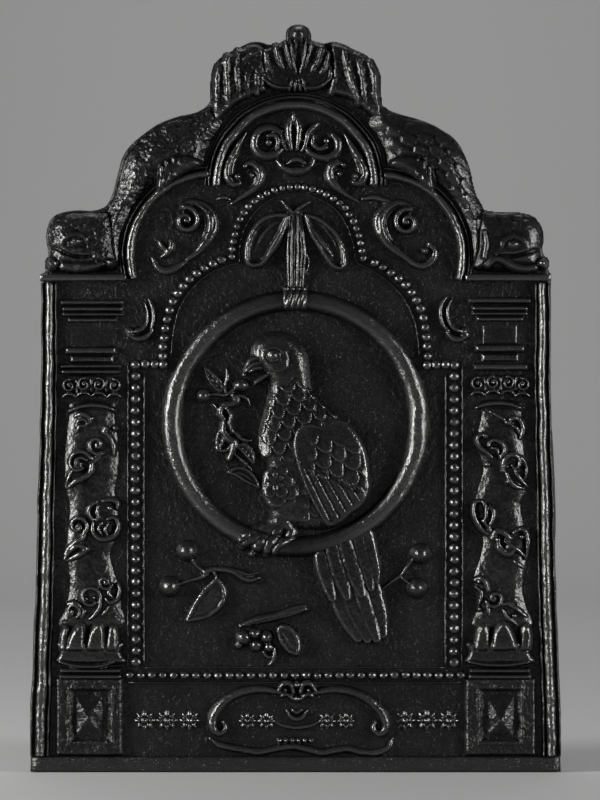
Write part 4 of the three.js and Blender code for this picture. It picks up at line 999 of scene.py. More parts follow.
def carve_bow():
    bow = Carving(238, 192, 354, 306, step=0.8)
    loops = {
        LEFT: [(290, 216), (281, 212.5), (266, 215), (253, 225), (245.5, 240), (243.2, 254), (245.5, 264),
            (253.5, 268.8), (263.5, 266), (272, 256), (279, 244), (285.5, 231)],
        RIGHT: [(303, 215), (310, 213.5), (322, 218), (335, 229), (344, 242), (347.5, 256), (346.5, 267),
            (340, 271.5), (331, 268), (323, 258), (315.5, 246), (307.5, 232)],
    }
    for side, loop in loops.items():
        depth = bow.inside(loop)
        rim = 4.6 * np.exp(-((depth - 2.8) / 2.6) ** 2) + 3.4 * rounding(depth, 4)
        bow.raise_to(np.where(depth > -3, np.where(depth > 0, rim, depth * 3 + 1.2 * np.exp(depth)), SUNK))
    # The loops are pinched on the side of the tails, where the ribbon bulges.
    bow.rib([(288, 222, 2.4), (281, 234, 5.0), (273.5, 247, 5.4), (265, 259, 3.0)], 8.0)
    bow.rib([(306, 222, 2.4), (314.5, 233, 4.6), (324, 245, 4.6), (332, 256, 2.4)], 7.6)
    bow.rib([(284, 219, 1.4), (271, 226, 2.4), (260, 238, 2.6), (254, 252, 1.6)], 5.0)
    bow.rib([(311, 219, 1.4), (323, 227, 2.4), (333, 239, 2.6), (339, 252, 1.6)], 5.0)
    bow.rib([(293, 213, 2.6), (288.8, 209, 3.2), (281.5, 200.5, 1.6)], 7.4)
    bow.rib([(294, 213, 2.6), (299.5, 208.5, 3.0), (309.5, 202, 1.4)], 7.0)
    for start, mid, low, rise in ((290.0, 287.8, 289.0, 6.6), (292.4, 291.4, 291.6, 7.4),
            (294.8, 294.6, 294.0, 6.8), (297.2, 298.0, 296.8, 7.6), (299.4, 301.4, 299.6, 7.0),
            (301.4, 304.8, 302.2, 6.6)):
        bow.rib([(start, 213, 1.5), ((start + mid) / 2, 232, 1.9), (mid, 252, 2.2),
                 ((mid + low) / 2, 270, 2.2),
                 (low, 287, 2.0)], rise, full=1.8)
    bow.rib([(306, 250, 0.8), (308.5, 262, 1.8), (306, 274, 1.0)], 4.4)
    bow.make("bow_carved", ["ribbon_bow"], lumps=0.24)


def hoop_bar(carving):
    """The height of the hoop's round bar at each grid place of a carving that lies over it."""
    reach = np.hypot(carving.x - HOOP_X, carving.y - HOOP_Y)
    across = np.abs(reach - 123.5) / 10.6
    return np.where(across < 1, 10.0 * np.sqrt(np.clip(1 - across ** 2.2, 0, 1)), 0.0)


def carve_tie():
    tie = Carving(278, 280, 312, 318, step=0.7)
    inside = np.clip(np.minimum(tie.x - 283.4, 306.9 - tie.x) / 1.8, -2, 1)
    wrap = np.maximum(hoop_bar(tie), 4.0) + 2.4 * rounding(inside, 1) + np.minimum(inside, 0) * 8
    strand = 0.85 * np.cos((tie.x - 295 + (tie.y - 299) * 0.32) / 5.8 * 2 * math.pi)
    ends = np.minimum(tie.y - 286.2, 310.8 - tie.y)
    shape = (wrap + strand) * np.clip(ends / 2.2, 0, 1) ** 0.5 + np.minimum(ends, 0) * 5 - 0.4
    tie.raise_to(np.maximum(shape, SUNK))
    tie.make("tie_carved", ["ribbon_tie"], lumps=0.1, limit=13.2)


# ---- Parrot ----

def feathers(carving, where, origin, heading, pitch, width, rise, tip=0.5, phase=0.0):
    """Rows of feathers inside a mask that runs from 0 to 1. Their tips point along the heading, in degrees
    down from the right."""
    angle = math.radians(heading)
    u = (carving.x - origin[0]) * math.cos(angle) + (carving.y - origin[1]) * math.sin(angle)
    v = -(carving.x - origin[0]) * math.sin(angle) + (carving.y - origin[1]) * math.cos(angle) + phase
    v = v + 0.8 * sample(SWELL, carving.x, carving.y)
    height, across, along = scale_rows(u, v, pitch, width, tip)
    barb = 0.05 * np.cos(across * 9.0) * along
    carving.height += where * (rise * (height ** 1.6 * (1 - 0.3 * across ** 2) + barb - 0.35))


def carve_parrot():
    bird = Carving(236, 324, 376, 534, step=0.75)
    outline = [(250.3, 352), (253, 343), (260, 336), (270, 331.8), (281, 331.3), (292, 335), (301, 343.5),
        (307.5, 355), (309.8, 368), (310.3, 380), (312.5, 390), (320, 399), (331, 408.5), (343, 419),
        (354, 431), (362, 444), (366.5, 459), (368.5, 476), (368.5, 492), (360, 508), (346, 519),
        (334, 527), (320, 530.5), (300, 529), (284, 526.5), (272, 522), (267.5, 512), (262.5, 500),
        (260, 488), (262, 476), (266, 466), (259, 458), (257.3, 446), (258.5, 430), (262.5, 415),
        (266, 400), (268.5, 388), (265.5, 378), (258.5, 371), (252, 362)]
    depth = bird.form(outline, 9.5, 13)
    bird.height += np.clip(depth / 24, 0, 1) * 1.2
    # The neck is drawn in between head and shoulders.
    head = bird.inside([(249.8, 352), (253, 342.5), (261, 335), (273, 331), (286, 332), (298, 339.5),
        (306.5, 352), (309.8, 368), (310.5, 384), (303, 387), (297, 379), (291, 385), (279, 386.5),
        (270, 384), (266, 375), (259, 368), (252, 360)])
    bird.height += np.clip(head / 9, 0, 1) * 1.6
    # Feathers of neck, breast and back, which end above the thigh.
    coat = np.clip((-head - 0.5) / 2.0, 0, 1) * np.clip((depth - 0.5) / 4, 0, 1)
    breast = coat * np.clip((460 - bird.y + (bird.x - 262) * 0.05) / 2.5, 0, 1)
    feathers(bird, breast, (282, 372), 76, 11.5, 15.5, 3.2, tip=0.62, phase=3)
    back = coat * np.clip((bird.y - 458) / 2.0, 0, 1) * np.clip((bird.x - 300) / 6, 0, 1)
    feathers(bird, back, (330, 470), 62, 12, 13, 2.0)
    # The thigh is a round swelling of its own with ringed feathers.
    thigh = bird.inside([(262, 484), (264, 472), (272, 466.5), (283, 466), (292, 468), (297, 476),
        (299.5, 487), (300, 498), (296, 506), (288, 510.5), (278, 511), (269, 507), (263.5, 497)])
    bird.raise_to(np.where(thigh > 0, 7.5 + 4.6 * rounding(thigh, 7), SUNK))
    thigh_x, thigh_y = 275.5, 481
    ring = np.hypot(bird.x - thigh_x, bird.y - thigh_y)
    turn = np.arctan2(bird.y - thigh_y, bird.x - thigh_x)
    height, across, _ = scale_rows(ring - 1.0, turn * 11.5, 8.6, 12.0, tip=0.5)
    bird.height += np.where(thigh > 1, 2.3 * (height ** 1.4 * (1 - 0.4 * across ** 2) - 0.4)
                            * np.clip(thigh / 3, 0, 1), 0)
    # Legs and rump below the thigh.
    for points, rise in (([(276, 508, 8), (278, 517, 7), (283, 526, 6)], 7.5),
            ([(290, 505, 8), (296, 515, 8), (306, 523, 7)], 6.8),
            ([(302, 498, 8), (311, 511, 8), (322, 523, 6)], 6.0)):
        bird.rib(points, rise, full=2.2)
    # Face: cheek patch, eye, brow and the hooked bill.
    cheek = bird.inside([(263, 353), (268, 348.5), (277, 348.5), (285, 352), (287.5, 360), (286, 368),
        (279, 371), (270, 370), (264.5, 363)])
    bird.height += np.where(cheek > -1.5, 1.3 * rounding(cheek + 1.5, 3), 0)
    bird.dome(273.2, 355.6, 5.4, 2.6, lift=12.6)
    bird.dome(273.2, 355.6, 3.0, 1.3, lift=14.6)
    bird.groove([(265.5, 357, 0.8), (268.5, 351.3, 1.2), (274, 349.3, 1.2), (279.5, 351.5, 1.0),
        (281.5, 356, 0.7)], 1.4)
    bird.groove([(266, 359, 0.7), (270, 362.5, 1.0), (276, 362.5, 1.0), (280.5, 359, 0.7)], 1.3)
    bird.rib([(283, 357, 1.0), (285.5, 362, 1.6), (284.5, 368, 1.0)], 1.4, lift=12.2)
    bird.rib([(276.5, 364, 0.9), (277.5, 368, 1.4), (281, 371, 0.9)], 1.2, lift=12.0)
    bill = [(262, 353), (256, 353.5), (249.5, 357), (245, 362.5), (242.4, 369.5), (242.2, 376.5),
        (246.5, 376), (251, 373.4), (257, 372), (264, 372), (267, 364)]
    upper = bird.inside(bill)
    bird.raise_to(np.where(upper > -1.5, 9.0 * rounding(upper, 4.5) + np.minimum(upper, 0) * 4, SUNK))
    for points in ([(259, 357.5, 1.0), (251, 360, 1.7), (245.8, 367.5, 1.1)],
            [(260.5, 362.5, 1.0), (253, 364.6, 1.7), (246.8, 371, 1.1)],
            [(261.5, 367.5, 0.9), (255, 368.8, 1.5), (249, 373, 0.9)]):
        bird.rib(points, 2.2, lift=8.6)
    bird.groove([(243.5, 374, 1.0), (251, 373.6, 1.8), (259, 373, 2.0), (265.5, 373.5, 1.6)], 5.0)
    bird.rib([(268, 375, 3.6), (262, 378, 4.0), (257, 381.5, 3.2), (253.8, 385, 1.4)], 9.0)
    bird.groove([(288, 386.5, 0.8), (294, 378.5, 1.2), (298, 380, 1.2), (303, 387.5, 1.0), (310, 388, 0.8)],
        1.2)
    bird.make("parrot_carved", ["parrot_body"], lumps=0.26, pits=0.1, soft=1)
    return bird


def carve_wing(bird):
    wing = bird.over()
    outline = [(293.5, 440), (296.5, 430), (303, 424.5), (312, 423.5), (322, 425.5), (332, 422), (341, 421),
        (351, 429), (360, 442), (365.5, 458), (367.5, 474), (368, 490), (362, 503), (350, 512.5),
        (341, 520.5), (331, 525), (323, 520), (313, 503), (304, 484.5), (297, 464), (293.8, 450)]
    depth = wing.inside(outline)
    wing.raise_to(np.where(depth > -2, 11.2 + 2.0 * rounding(depth, 5) + np.minimum(depth, 0) * 3, SUNK))
    rim = np.exp(-((depth - 1.8) / 1.5) ** 2) * np.clip((330 - wing.x) / 12, 0, 1)
    wing.height += np.where(depth > 0, 1.5 * rim, 0)
    mask = np.clip((depth - 3.0) / 2.0, 0, 1)
    # Small coverts on the outer shoulder, then two rows of broad ones, then the long quills.
    line = (wing.y - 424) - (wing.x - 300) * 0.36
    covert = (mask * np.clip((line - 2) / 8, 0, 1) * np.clip((46 - line) / 2.0, 0, 1)
              * np.clip((wing.x - 308) / 8, 0, 1))
    feathers(wing, covert, (312, 432), 64, 13.5, 18, 3.2, tip=0.62, phase=6)
    quill = mask * np.clip((line - 40) / 2.0, 0, 1)
    angle = math.radians(62)
    u = (wing.x - 297) * math.cos(angle) + (wing.y - 440) * math.sin(angle)
    v = -(wing.x - 297) * math.sin(angle) + (wing.y - 440) * math.cos(angle)
    fan = v / (0.75 + u / 260)
    lap = (fan / 8.4) % 1.0
    wing.height += quill * (1.5 * (1 - lap) ** 1.3 - 0.5 + 0.35 * np.exp(-((lap - 0.4) / 0.09) ** 2))
    edge = np.abs(line - 44 - 3.0 * np.cos((wing.x - 300) / 8.0))
    wing.height -= mask * 0.9 * np.exp(-(edge / 1.4) ** 2)
    wing.make("parrot_wing_carved", ["parrot_wing"], lumps=0.22, pits=0.1, soft=1, limit=15.4)


def carve_tail():
    tail = Carving(306, 526, 392, 650, step=0.8)
    tail.form([(316, 545), (314.5, 560), (319, 578), (326, 596), (332, 610), (341, 625), (352, 637),
        (364, 641), (376, 640.5), (385, 636), (386.5, 624), (384.5, 606), (381, 586), (376.5, 562),
        (370, 536), (350, 532)], 4.6, 4)
    quills = [([(334, 588, 6), (341, 608, 7), (350, 625, 6.5), (358, 638, 4.2)], 6.6),
        ([(369, 568, 6), (375.5, 595, 7), (380, 616, 6.6), (383, 634, 4.2)], 6.2),
        ([(346, 586, 6.5), (352, 608, 7.4), (360, 625, 6.8), (367.5, 639, 4.2)], 7.2),
        ([(358, 583, 6.5), (364.5, 606, 7.4), (371, 624, 6.8), (376.5, 638.5, 4.2)], 7.8),
        ([(368, 534, 5), (371.5, 552, 5.4), (375, 568, 5), (377, 581, 2.6)], 8.0),
        ([(321, 556, 6), (324, 570, 7), (328.5, 585, 6), (332, 598, 3.4)], 8.4),
        ([(358, 538, 6.5), (363.5, 558, 7.2), (368, 575, 6.2), (370.5, 588, 3.4)], 8.6),
        ([(332, 548, 6.5), (337, 568, 7.4), (342.5, 583, 6.6), (347, 597, 3.6)], 9.0),
        ([(345, 543, 7), (351, 565, 7.8), (357, 581, 6.8), (361.5, 594, 3.6)], 9.4)]
    for points, rise in quills:
        away, side, _, _ = tail.trace(points)
        top = rise - 1.3 * np.minimum(away, 1) ** 3 - 0.3 * np.exp(-(away / 0.14) ** 2)
        top += 0.18 * np.cos(away * side * 11) * (away < 0.85)
        top = np.where(away > 0.93, top - (away - 0.93) * 14, top)
        tail.raise_to(np.where(away < 1.6, top, SUNK))
    tail.make("parrot_tail_carved", ["parrot_tail"], lumps=0.3, soft=1, limit=9.8)


def carve_feet():
    feet = Carving(230, 516, 300, 566, step=0.7)
    feet.lie_on(hoop_bar(feet))
    toes = [[(279, 521, 5.5), (269, 529, 5.6), (259, 535, 5.4), (250, 540, 5.0), (243, 545.5, 3.6)],
        [(264, 529, 4.6), (256, 531.5, 5.0), (247.5, 534.5, 4.4), (240.5, 540, 3.0)],
        [(265, 535, 5.0), (260.5, 542, 5.2), (256.5, 548.5, 4.6), (252.5, 553.5, 3.0)],
        [(285, 522, 5.5), (278, 529.5, 5.6), (272, 538, 5.4), (268, 546.5, 4.8), (266, 553.5, 3.2)],
        [(287, 525, 5.0), (291.5, 531.5, 4.6), (286, 539, 4.2), (278.5, 545.5, 3.6), (274, 552, 2.6)]]
    floor = np.maximum(feet.ground, 3.4)
    for route in toes:
        away, _, along, _ = feet.trace([(x, y, width * 1.3) for x, y, width in route])
        knuckle = 0.5 * np.cos(along * 3 * 2 * math.pi)
        top = floor + 5.2 * (1 - away ** 2) + knuckle * (away < 1) - 0.6
        feet.raise_to(np.where(away < 1.5, top, SUNK + feet.ground))
    feet.make("parrot_feet_carved", ["parrot_feet"], lumps=0.2, limit=15.8)


# ---- Branch, sprigs and fruit ----

def leaf_blade(carving, points, rise, crease=1.2):
    """A leaf: a broad rib with a midrib crease and a raised edge."""
    away, _, along, _ = carving.trace(points)
    top = rise * (0.72 + 0.28 * away ** 2) - crease * np.exp(-(away / 0.16) ** 2)
    top += 0.35 * np.cos(along * 34 - away * 3.0) * (away < 0.9)
    top = np.where(away > 0.86, top - (away - 0.86) * rise * 5, top)
    carving.raise_to(np.where(away < 1.5, top, SUNK))


def carve_branch():
    spray = Carving(192, 360, 266, 494, step=0.75)
    spray.dome(203.2, 395.6, 7.8, 10.0, full=2.2)
    spray.dome(241, 385.2, 9.8, 10.0, tall=7.2, full=2.2)
    spray.rib([(209, 394.8, 1.8), (218, 394.6, 2.2), (226, 395, 3.0), (232, 391, 3.0), (236, 388, 2.6)],
        6.0)
    spray.rib([(228, 394, 1.8), (225.5, 386, 2.4), (227.5, 377, 2.8), (226.5, 368.5, 1.2)], 4.2)
    leaf_blade(spray, [(226, 394, 2.2), (219, 386, 5.2), (211.5, 377, 5.0), (204, 366.5, 1.0)], 3.6)
    spray.rib([(233, 395, 4.0), (237.5, 401, 4.6), (231, 404, 5.0), (223.5, 406, 5.0), (220.5, 413, 4.8),
        (224.5, 421, 4.8), (224, 430, 5.4), (228, 438, 6.0), (234.5, 442, 5.4), (233, 450, 5.0),
        (229, 459, 3.6)], 7.6, full=1.8)
    spray.rib([(236.5, 396, 2.6), (243, 396.5, 3.0), (248.5, 400.5, 2.2), (250, 406, 1.2)], 6.2)
    spray.rib([(226, 408, 2.0), (231, 415, 2.8), (229.5, 424, 2.8), (233, 432, 2.6)], 6.4, lift=2.0)
    spray.rib([(236, 433, 3.0), (241, 438.5, 3.2), (247.5, 440.5, 2.4), (253, 440, 1.2)], 6.2)
    spray.rib([(213.5, 404, 1.2), (217, 408, 2.2), (220, 414, 2.2)], 4.6)
    leaf_blade(spray, [(231, 427, 2.4), (224, 432.5, 5.6), (220, 441, 4.8), (218.5, 450, 1.2)], 5.6,
        crease=0.8)
    spray.rib([(215, 447.5, 1.2), (220, 450.5, 2.4), (227, 450, 3.0), (232, 445, 3.0)], 5.4)
    leaf_blade(spray, [(238, 446, 2.0), (245, 448, 5.4), (251, 455, 5.2), (253.5, 463, 1.4)], 5.6,
        crease=0.9)
    spray.rib([(236, 455, 1.6), (243, 461, 2.6), (252, 470, 1.4)], 4.6)
    spray.curled_leaf([(227, 472.5), (234, 467.5), (243, 467), (252, 471.5), (258, 479), (261, 488.5),
        (253, 486), (244, 481.5), (236, 476.5)], 2.8, 3.2, 1.4, 1.3, 1.0, 6)
    spray.rib([(229, 472.5, 0.9), (243, 474, 1.4), (258, 485.5, 0.9)], 5.8)
    spray.make("branch_carved", ["cherry_branch"], lumps=0.15)


def carve_sprigs():
    left = Carving(156, 536, 268, 624, step=0.75)
    left.dome(187.2, 550.6, 11.0, 12.2, full=2.2)
    left.dome(169.8, 586.5, 11.0, 12.2, full=2.2)
    left.rib([(191, 559, 2.2), (197.5, 566.5, 2.2), (207, 572.5, 3.4)], 4.8)
    left.rib([(179, 584, 1.8), (190, 580.5, 2.0), (201, 577.5, 2.6), (208, 573.5, 3.2)], 4.8)
    left.rib([(205, 572, 4.0), (213, 569.5, 3.6), (224, 569.5, 3.6), (234, 572, 4.4), (243, 577.5, 4.4),
        (250, 580, 4.0), (259.5, 577.5, 1.6)], 6.6)
    left.rib([(233, 570, 2.4), (241, 572.5, 3.0), (249, 574.5, 2.2), (256, 573, 1.0)], 6.0)
    left.rib([(212, 570, 2.0), (216, 576, 2.2), (218, 582, 1.8)], 5.4)
    left.curled_leaf([(217.5, 577), (225, 586), (226.5, 597), (221, 608), (209.5, 617), (197, 620.5),
        (186, 621), (190, 610), (196.5, 598), (204, 588), (211.5, 581)], 3.4, 2.0, 2.0, 1.8, 1.8, 9)
    left.rib([(217.5, 580, 1.2), (213.5, 593, 1.6), (204, 608, 1.4), (190, 619, 0.8)], 5.7)
    left.make("sprig_left", ["cherry_sprig_left"], lumps=0.16)
    right = Carving(374, 536, 436, 606, step=0.75)
    right.dome(420.3, 553.8, 10.8, 12.0, full=2.2)
    right.dome(416.6, 588, 10.8, 12.0, full=2.2)
    right.rib([(382, 589, 1.2), (391, 582, 2.0), (400.5, 575.5, 2.4), (407.5, 566, 2.2), (413, 559, 2.0)],
        4.8)
    right.rib([(399.5, 576, 2.2), (404, 580, 1.8), (409.5, 583.5, 1.8)], 4.4)
    right.make("sprig_right", ["cherry_sprig_right"], lumps=0.16)


def carve_fruit():
    fruit = Carving(226, 600, 316, 674, step=0.75)
    fruit.rib([(240.5, 625.5, 2.6), (250, 622, 4.4), (262, 619, 5.0), (278, 615.5, 5.0), (292, 612, 4.8),
        (305, 608.5, 3.6)], 7.6)
    fruit.rib([(283, 611.5, 2.4), (295, 608, 3.0), (305, 605.5, 2.0)], 6.4)
    fruit.groove([(246, 624, 0.8), (264, 619.5, 1.2), (284, 615, 1.2), (300, 610.5, 0.8)], 1.6)
    for x, y, radius, rise in ((244, 638, 8.6, 8.4), (255, 633.5, 7.0, 8.8), (256, 645, 7.4, 8.0),
            (266.5, 637, 7.6, 9.0), (268.5, 647, 6.0, 7.6), (239, 645, 4.6, 5.4)):
        fruit.dome(x, y, radius, rise, full=2.2)
    fruit.curled_leaf([(277.5, 627), (285, 624.5), (293, 629), (299, 637), (300.5, 647), (298, 655),
        (290, 653), (282.5, 646), (278, 637)], 5.4, 1.8, 2.0, 1.8, 1.8, 8)
    fruit.rib([(281, 628, 1.4), (287, 639, 1.8), (296, 652.5, 1.0)], 8.4)
    fruit.rib([(274, 648, 2.4), (274.5, 655, 3.0), (272.5, 661, 2.4), (268.5, 665, 1.4)], 6.0)
    fruit.rib([(263, 651, 1.8), (267, 656, 2.6), (273, 657, 2.2)], 5.4)
    fruit.make("fruit_carved", ["fruit_ornament"], lumps=0.35)


# ---- Pilasters ----

ENTABLATURE = {
    LEFT: [(60, 299.8, 124.5, 305.4, 8.4), (61.5, 306.2, 123.5, 312.0, 5.8), (61.5, 312.4, 123.5, 316.6,
        7.4), (67.5, 317.6, 117.5, 322.6, 4.6)],
    RIGHT: [(468, 297.6, 531.5, 304, 8.4), (471.5, 305.6, 528.5, 311.4, 5.8), (471.5, 311.8, 528.5, 315.6,
        7.4), (476, 316.6, 524, 321.8, 4.6)],
}
NECK = {
    LEFT: [(70, 326, 114, 346, 0.4), (65, 347, 117, 354.6, 7.2), (70, 355.6, 113.5, 362.8, 3.0),
        (59.5, 364, 122, 368.8, 5.6), (60.5, 369.4, 121, 374.4, 8.6)],
    RIGHT: [(483, 325, 517, 344, 0.8), (474.5, 344.6, 525, 352.6, 7.2), (481.5, 353.6, 518.5, 362, 3.0),
        (472.5, 363.4, 528.5, 370.8, 8.4)],
}
SHAFT = {
    LEFT: [(73, 401), (69, 418), (66, 440), (64, 470), (66, 490), (70, 508), (67.5, 532), (66.5, 552),
        (69, 572), (69.6, 590), (65.5, 608), (61, 628), (121, 628), (121, 604), (118.5, 585), (113.5, 570),
        (110, 555), (114.5, 542), (119, 525), (116.5, 505), (114.5, 490), (118, 470), (118, 440),
        (114.5, 418), (112, 401)],
    RIGHT: [(480, 401), (481.5, 416), (478, 432), (476, 446), (481, 459), (483, 471), (477.5, 490),
        (473.5, 505), (476, 520), (482.5, 535), (482.5, 546), (479, 560), (474, 577), (476, 592),
        (478, 608), (474.5, 628), (531, 628), (526.5, 608), (522.5, 592), (523.5, 577), (526.5, 560),
        (527.5, 541), (522.5, 521), (520.5, 504), (526, 490), (527, 470), (524, 452), (522, 436),
        (521.5, 418), (519, 401)],
}
ASTRAGAL = {
    LEFT: [(69, 411.5, 1.8), (79, 407.4, 3.0), (92, 405.4, 3.4), (105, 406.6, 3.0), (114.5, 410, 1.8)],
    RIGHT: [(475.8, 407.8, 1.8), (486, 404.4, 3.0), (497, 403.4, 3.4), (510, 404.6, 3.0),
        (520.5, 408, 1.8)],
}
CAPITAL = {
    LEFT: ((69.5, 385.8), (84.2, 384.6), (99.0, 384.6), (114.6, 385.8)),
    RIGHT: ((477.4, 383.8), (492.8, 382.6), (507.6, 382.8), (522.4, 384.8)),
}

# The leaf work winding round each shaft: ribs with their height over the shaft, then round eyes.
TOP_LEAVES = {
    LEFT: ([
        ([(75, 416.5, 1.6), (82, 414.2, 2.8), (88.5, 417, 3.0), (90.5, 422, 2.0)], 4.6),
        ([(76, 427, 1.2), (79, 420.5, 2.2), (85, 419.5, 2.4), (88.5, 423.5, 1.6)], 4.4),
        ([(77, 432, 1.0), (80.5, 426, 2.0), (86, 425.5, 1.6), (93, 418, 1.4)], 3.8),
        ([(104, 431.5, 2.4), (110.5, 437, 2.8), (114.2, 446, 2.8), (114.6, 455, 1.8)], 5.0),
        (volute(97.5, 444.8, 300, -1.15, 2.0, 9.6, 2.6, 0.8), 5.0),
        ([(102, 454, 2.0), (97, 458.5, 3.4), (94, 462, 2.4)], 3.8),
        (volute(79.5, 463, 20, 0.8, 6.0, 13.0, 3.0, 0.8), 5.6),
        (volute(80.5, 464, 30, 0.7, 2.4, 7.6, 2.3, 0.8), 5.6),
        ([(92, 464, 2.6), (90.5, 472, 3.4), (83.5, 478, 3.8), (75.5, 481.5, 3.4), (67, 488.5, 1.4)], 5.4),
        ([(73, 470, 1.6), (69, 477, 2.6), (66, 487, 1.2)], 5.0)],
        [(106.3, 428.8, 4.0, 5.4), (115.2, 428.2, 3.8, 5.0), (97.5, 444.8, 3.8, 5.0),
            (80.3, 463.6, 3.4, 5.2)]),
    RIGHT: ([
        ([(489, 411.5, 1.2), (496, 415, 2.0), (503.5, 419.5, 2.2)], 3.8),
        ([(509, 424, 1.8), (511.5, 418.5, 2.8), (517, 418.5, 3.0), (521.5, 424, 3.2), (522.5, 432, 2.6),
            (520, 439, 1.2)], 5.2),
        ([(513, 426, 1.6), (517, 428.5, 2.4), (519, 433.5, 1.4)], 4.6),
        ([(484.5, 434.5, 2.0), (479, 435.5, 2.6), (476.6, 441, 2.8), (480.5, 448, 3.0), (487.6, 453.5, 2.8),
            (492, 458, 1.6)], 5.2),
        ([(488, 443, 2.0), (493.5, 440, 2.6), (500.5, 442.6, 2.8), (504.2, 450, 2.8),
            (500, 458, 2.2)], 5.2),
        ([(492, 448, 1.4), (496.5, 449, 2.4), (498, 454.5, 1.6)], 4.4),
        ([(502.5, 471, 2.4), (503.2, 461.5, 3.0), (510, 454.6, 3.2), (518, 457, 3.0), (519.3, 464, 2.6),
            (514.5, 468.6, 2.0), (511, 464.5, 1.4)], 5.8),
        ([(521.5, 456.5, 1.4), (526, 468, 2.4), (525, 478, 1.8)], 4.6),
        ([(506.5, 473, 2.2), (509.3, 480, 3.2), (515, 486, 3.0), (523.5, 488.4, 1.4)], 5.4),
        ([(514.5, 471, 2.0), (519.5, 478, 3.0), (527, 486.5, 1.3)], 5.4)],
        [(506.9, 422.4, 3.2, 5.4), (484.6, 436.4, 2.8, 5.6), (488.2, 445.2, 2.8, 5.2),
            (487, 464.4, 3.6, 4.4),
            (506.2, 466.4, 2.6, 5.4), (507.4, 482.2, 2.4, 4.8)]),
}
MIDDLE_LEAVES = {
    LEFT: ([
        (volute(78.2, 525.6, 300, 1.3, 2.0, 10.6, 2.8, 0.8), 5.6),
        ([(85.5, 530, 2.6), (84, 537.5, 2.8), (77, 541, 2.6), (70, 546.5, 2.4), (64.8, 554, 1.2)], 5.4),
        ([(86.5, 548, 2.4), (79, 545.2, 3.0), (71.5, 549.5, 3.2), (64.3, 559.3, 1.4)], 5.2),
        ([(87.5, 549.5, 2.0), (81, 553.6, 3.6), (73, 557.5, 2.8), (67, 560.5, 1.2)], 5.0),
        ([(97.5, 501.5, 2.0), (91, 506, 2.8), (89, 513, 3.0), (93, 519.5, 2.6)], 5.4),
        ([(98.5, 506, 1.8), (97.2, 512.5, 2.4), (99.5, 518, 1.8)], 5.0),
        ([(103, 501, 2.0), (111, 499.5, 3.0), (117.5, 502.5, 2.6), (117.5, 509, 1.6)], 5.0),
        ([(93.5, 523, 2.0), (93.5, 531.5, 3.0), (99.5, 538, 3.4), (108, 538.5, 3.6), (115.5, 534, 3.4),
            (118.8, 525, 3.0), (114.5, 517.5, 2.6), (108, 519, 2.0)], 5.8),
        ([(102.5, 522, 1.6), (99, 528.5, 2.4), (101.5, 533.5, 1.6)], 5.0),
        ([(108.5, 523.5, 1.6), (105.5, 530, 2.4), (108, 534.5, 1.4)], 5.0)],
        [(78.2, 525.6, 3.2, 6.0), (97, 519.5, 3.0, 5.6), (110.5, 508, 3.6, 4.6)]),
    RIGHT: ([
        ([(479.5, 500.5, 2.0), (474.6, 503, 2.8), (473.2, 511, 3.0), (475.5, 520, 3.0), (481, 528.5, 3.2),
            (487.5, 533.5, 2.8)], 5.8),
        ([(482.5, 501.5, 2.0), (485.5, 508, 2.6), (485.5, 516, 2.6), (483, 522, 1.6)], 5.4),
        ([(489, 506, 2.2), (493, 512, 3.0), (492, 520, 2.8), (488, 527, 1.8)], 5.2),
        ([(481, 520, 1.6), (487, 526, 2.6), (491, 533, 1.6)], 5.0),
        ([(491.5, 538, 3.2), (496, 531.5, 3.8), (503, 532.5, 4.0), (509, 538, 3.6)], 5.4),
        ([(497, 541, 2.4), (500.5, 549, 4.4), (508, 553, 4.4), (514, 549, 3.0)], 5.4),
        ([(505, 541, 2.8), (510, 545, 3.0), (517, 549, 2.8), (525, 556.8, 1.4)], 5.4),
        ([(513, 533, 1.6), (519.5, 528.8, 3.0), (525.5, 532, 3.2), (527.6, 541, 2.8), (526.8, 550, 2.2),
            (525.6, 559, 1.2)], 5.4),
        ([(514.5, 561, 1.6), (518, 564, 2.6), (523, 567, 1.6)], 4.4)],
        [(486.8, 508.5, 3.0, 5.8), (497.5, 539.5, 4.2, 5.6), (508.5, 547, 4.6, 5.4),
            (521.5, 536.5, 3.4, 5.0)]),
}
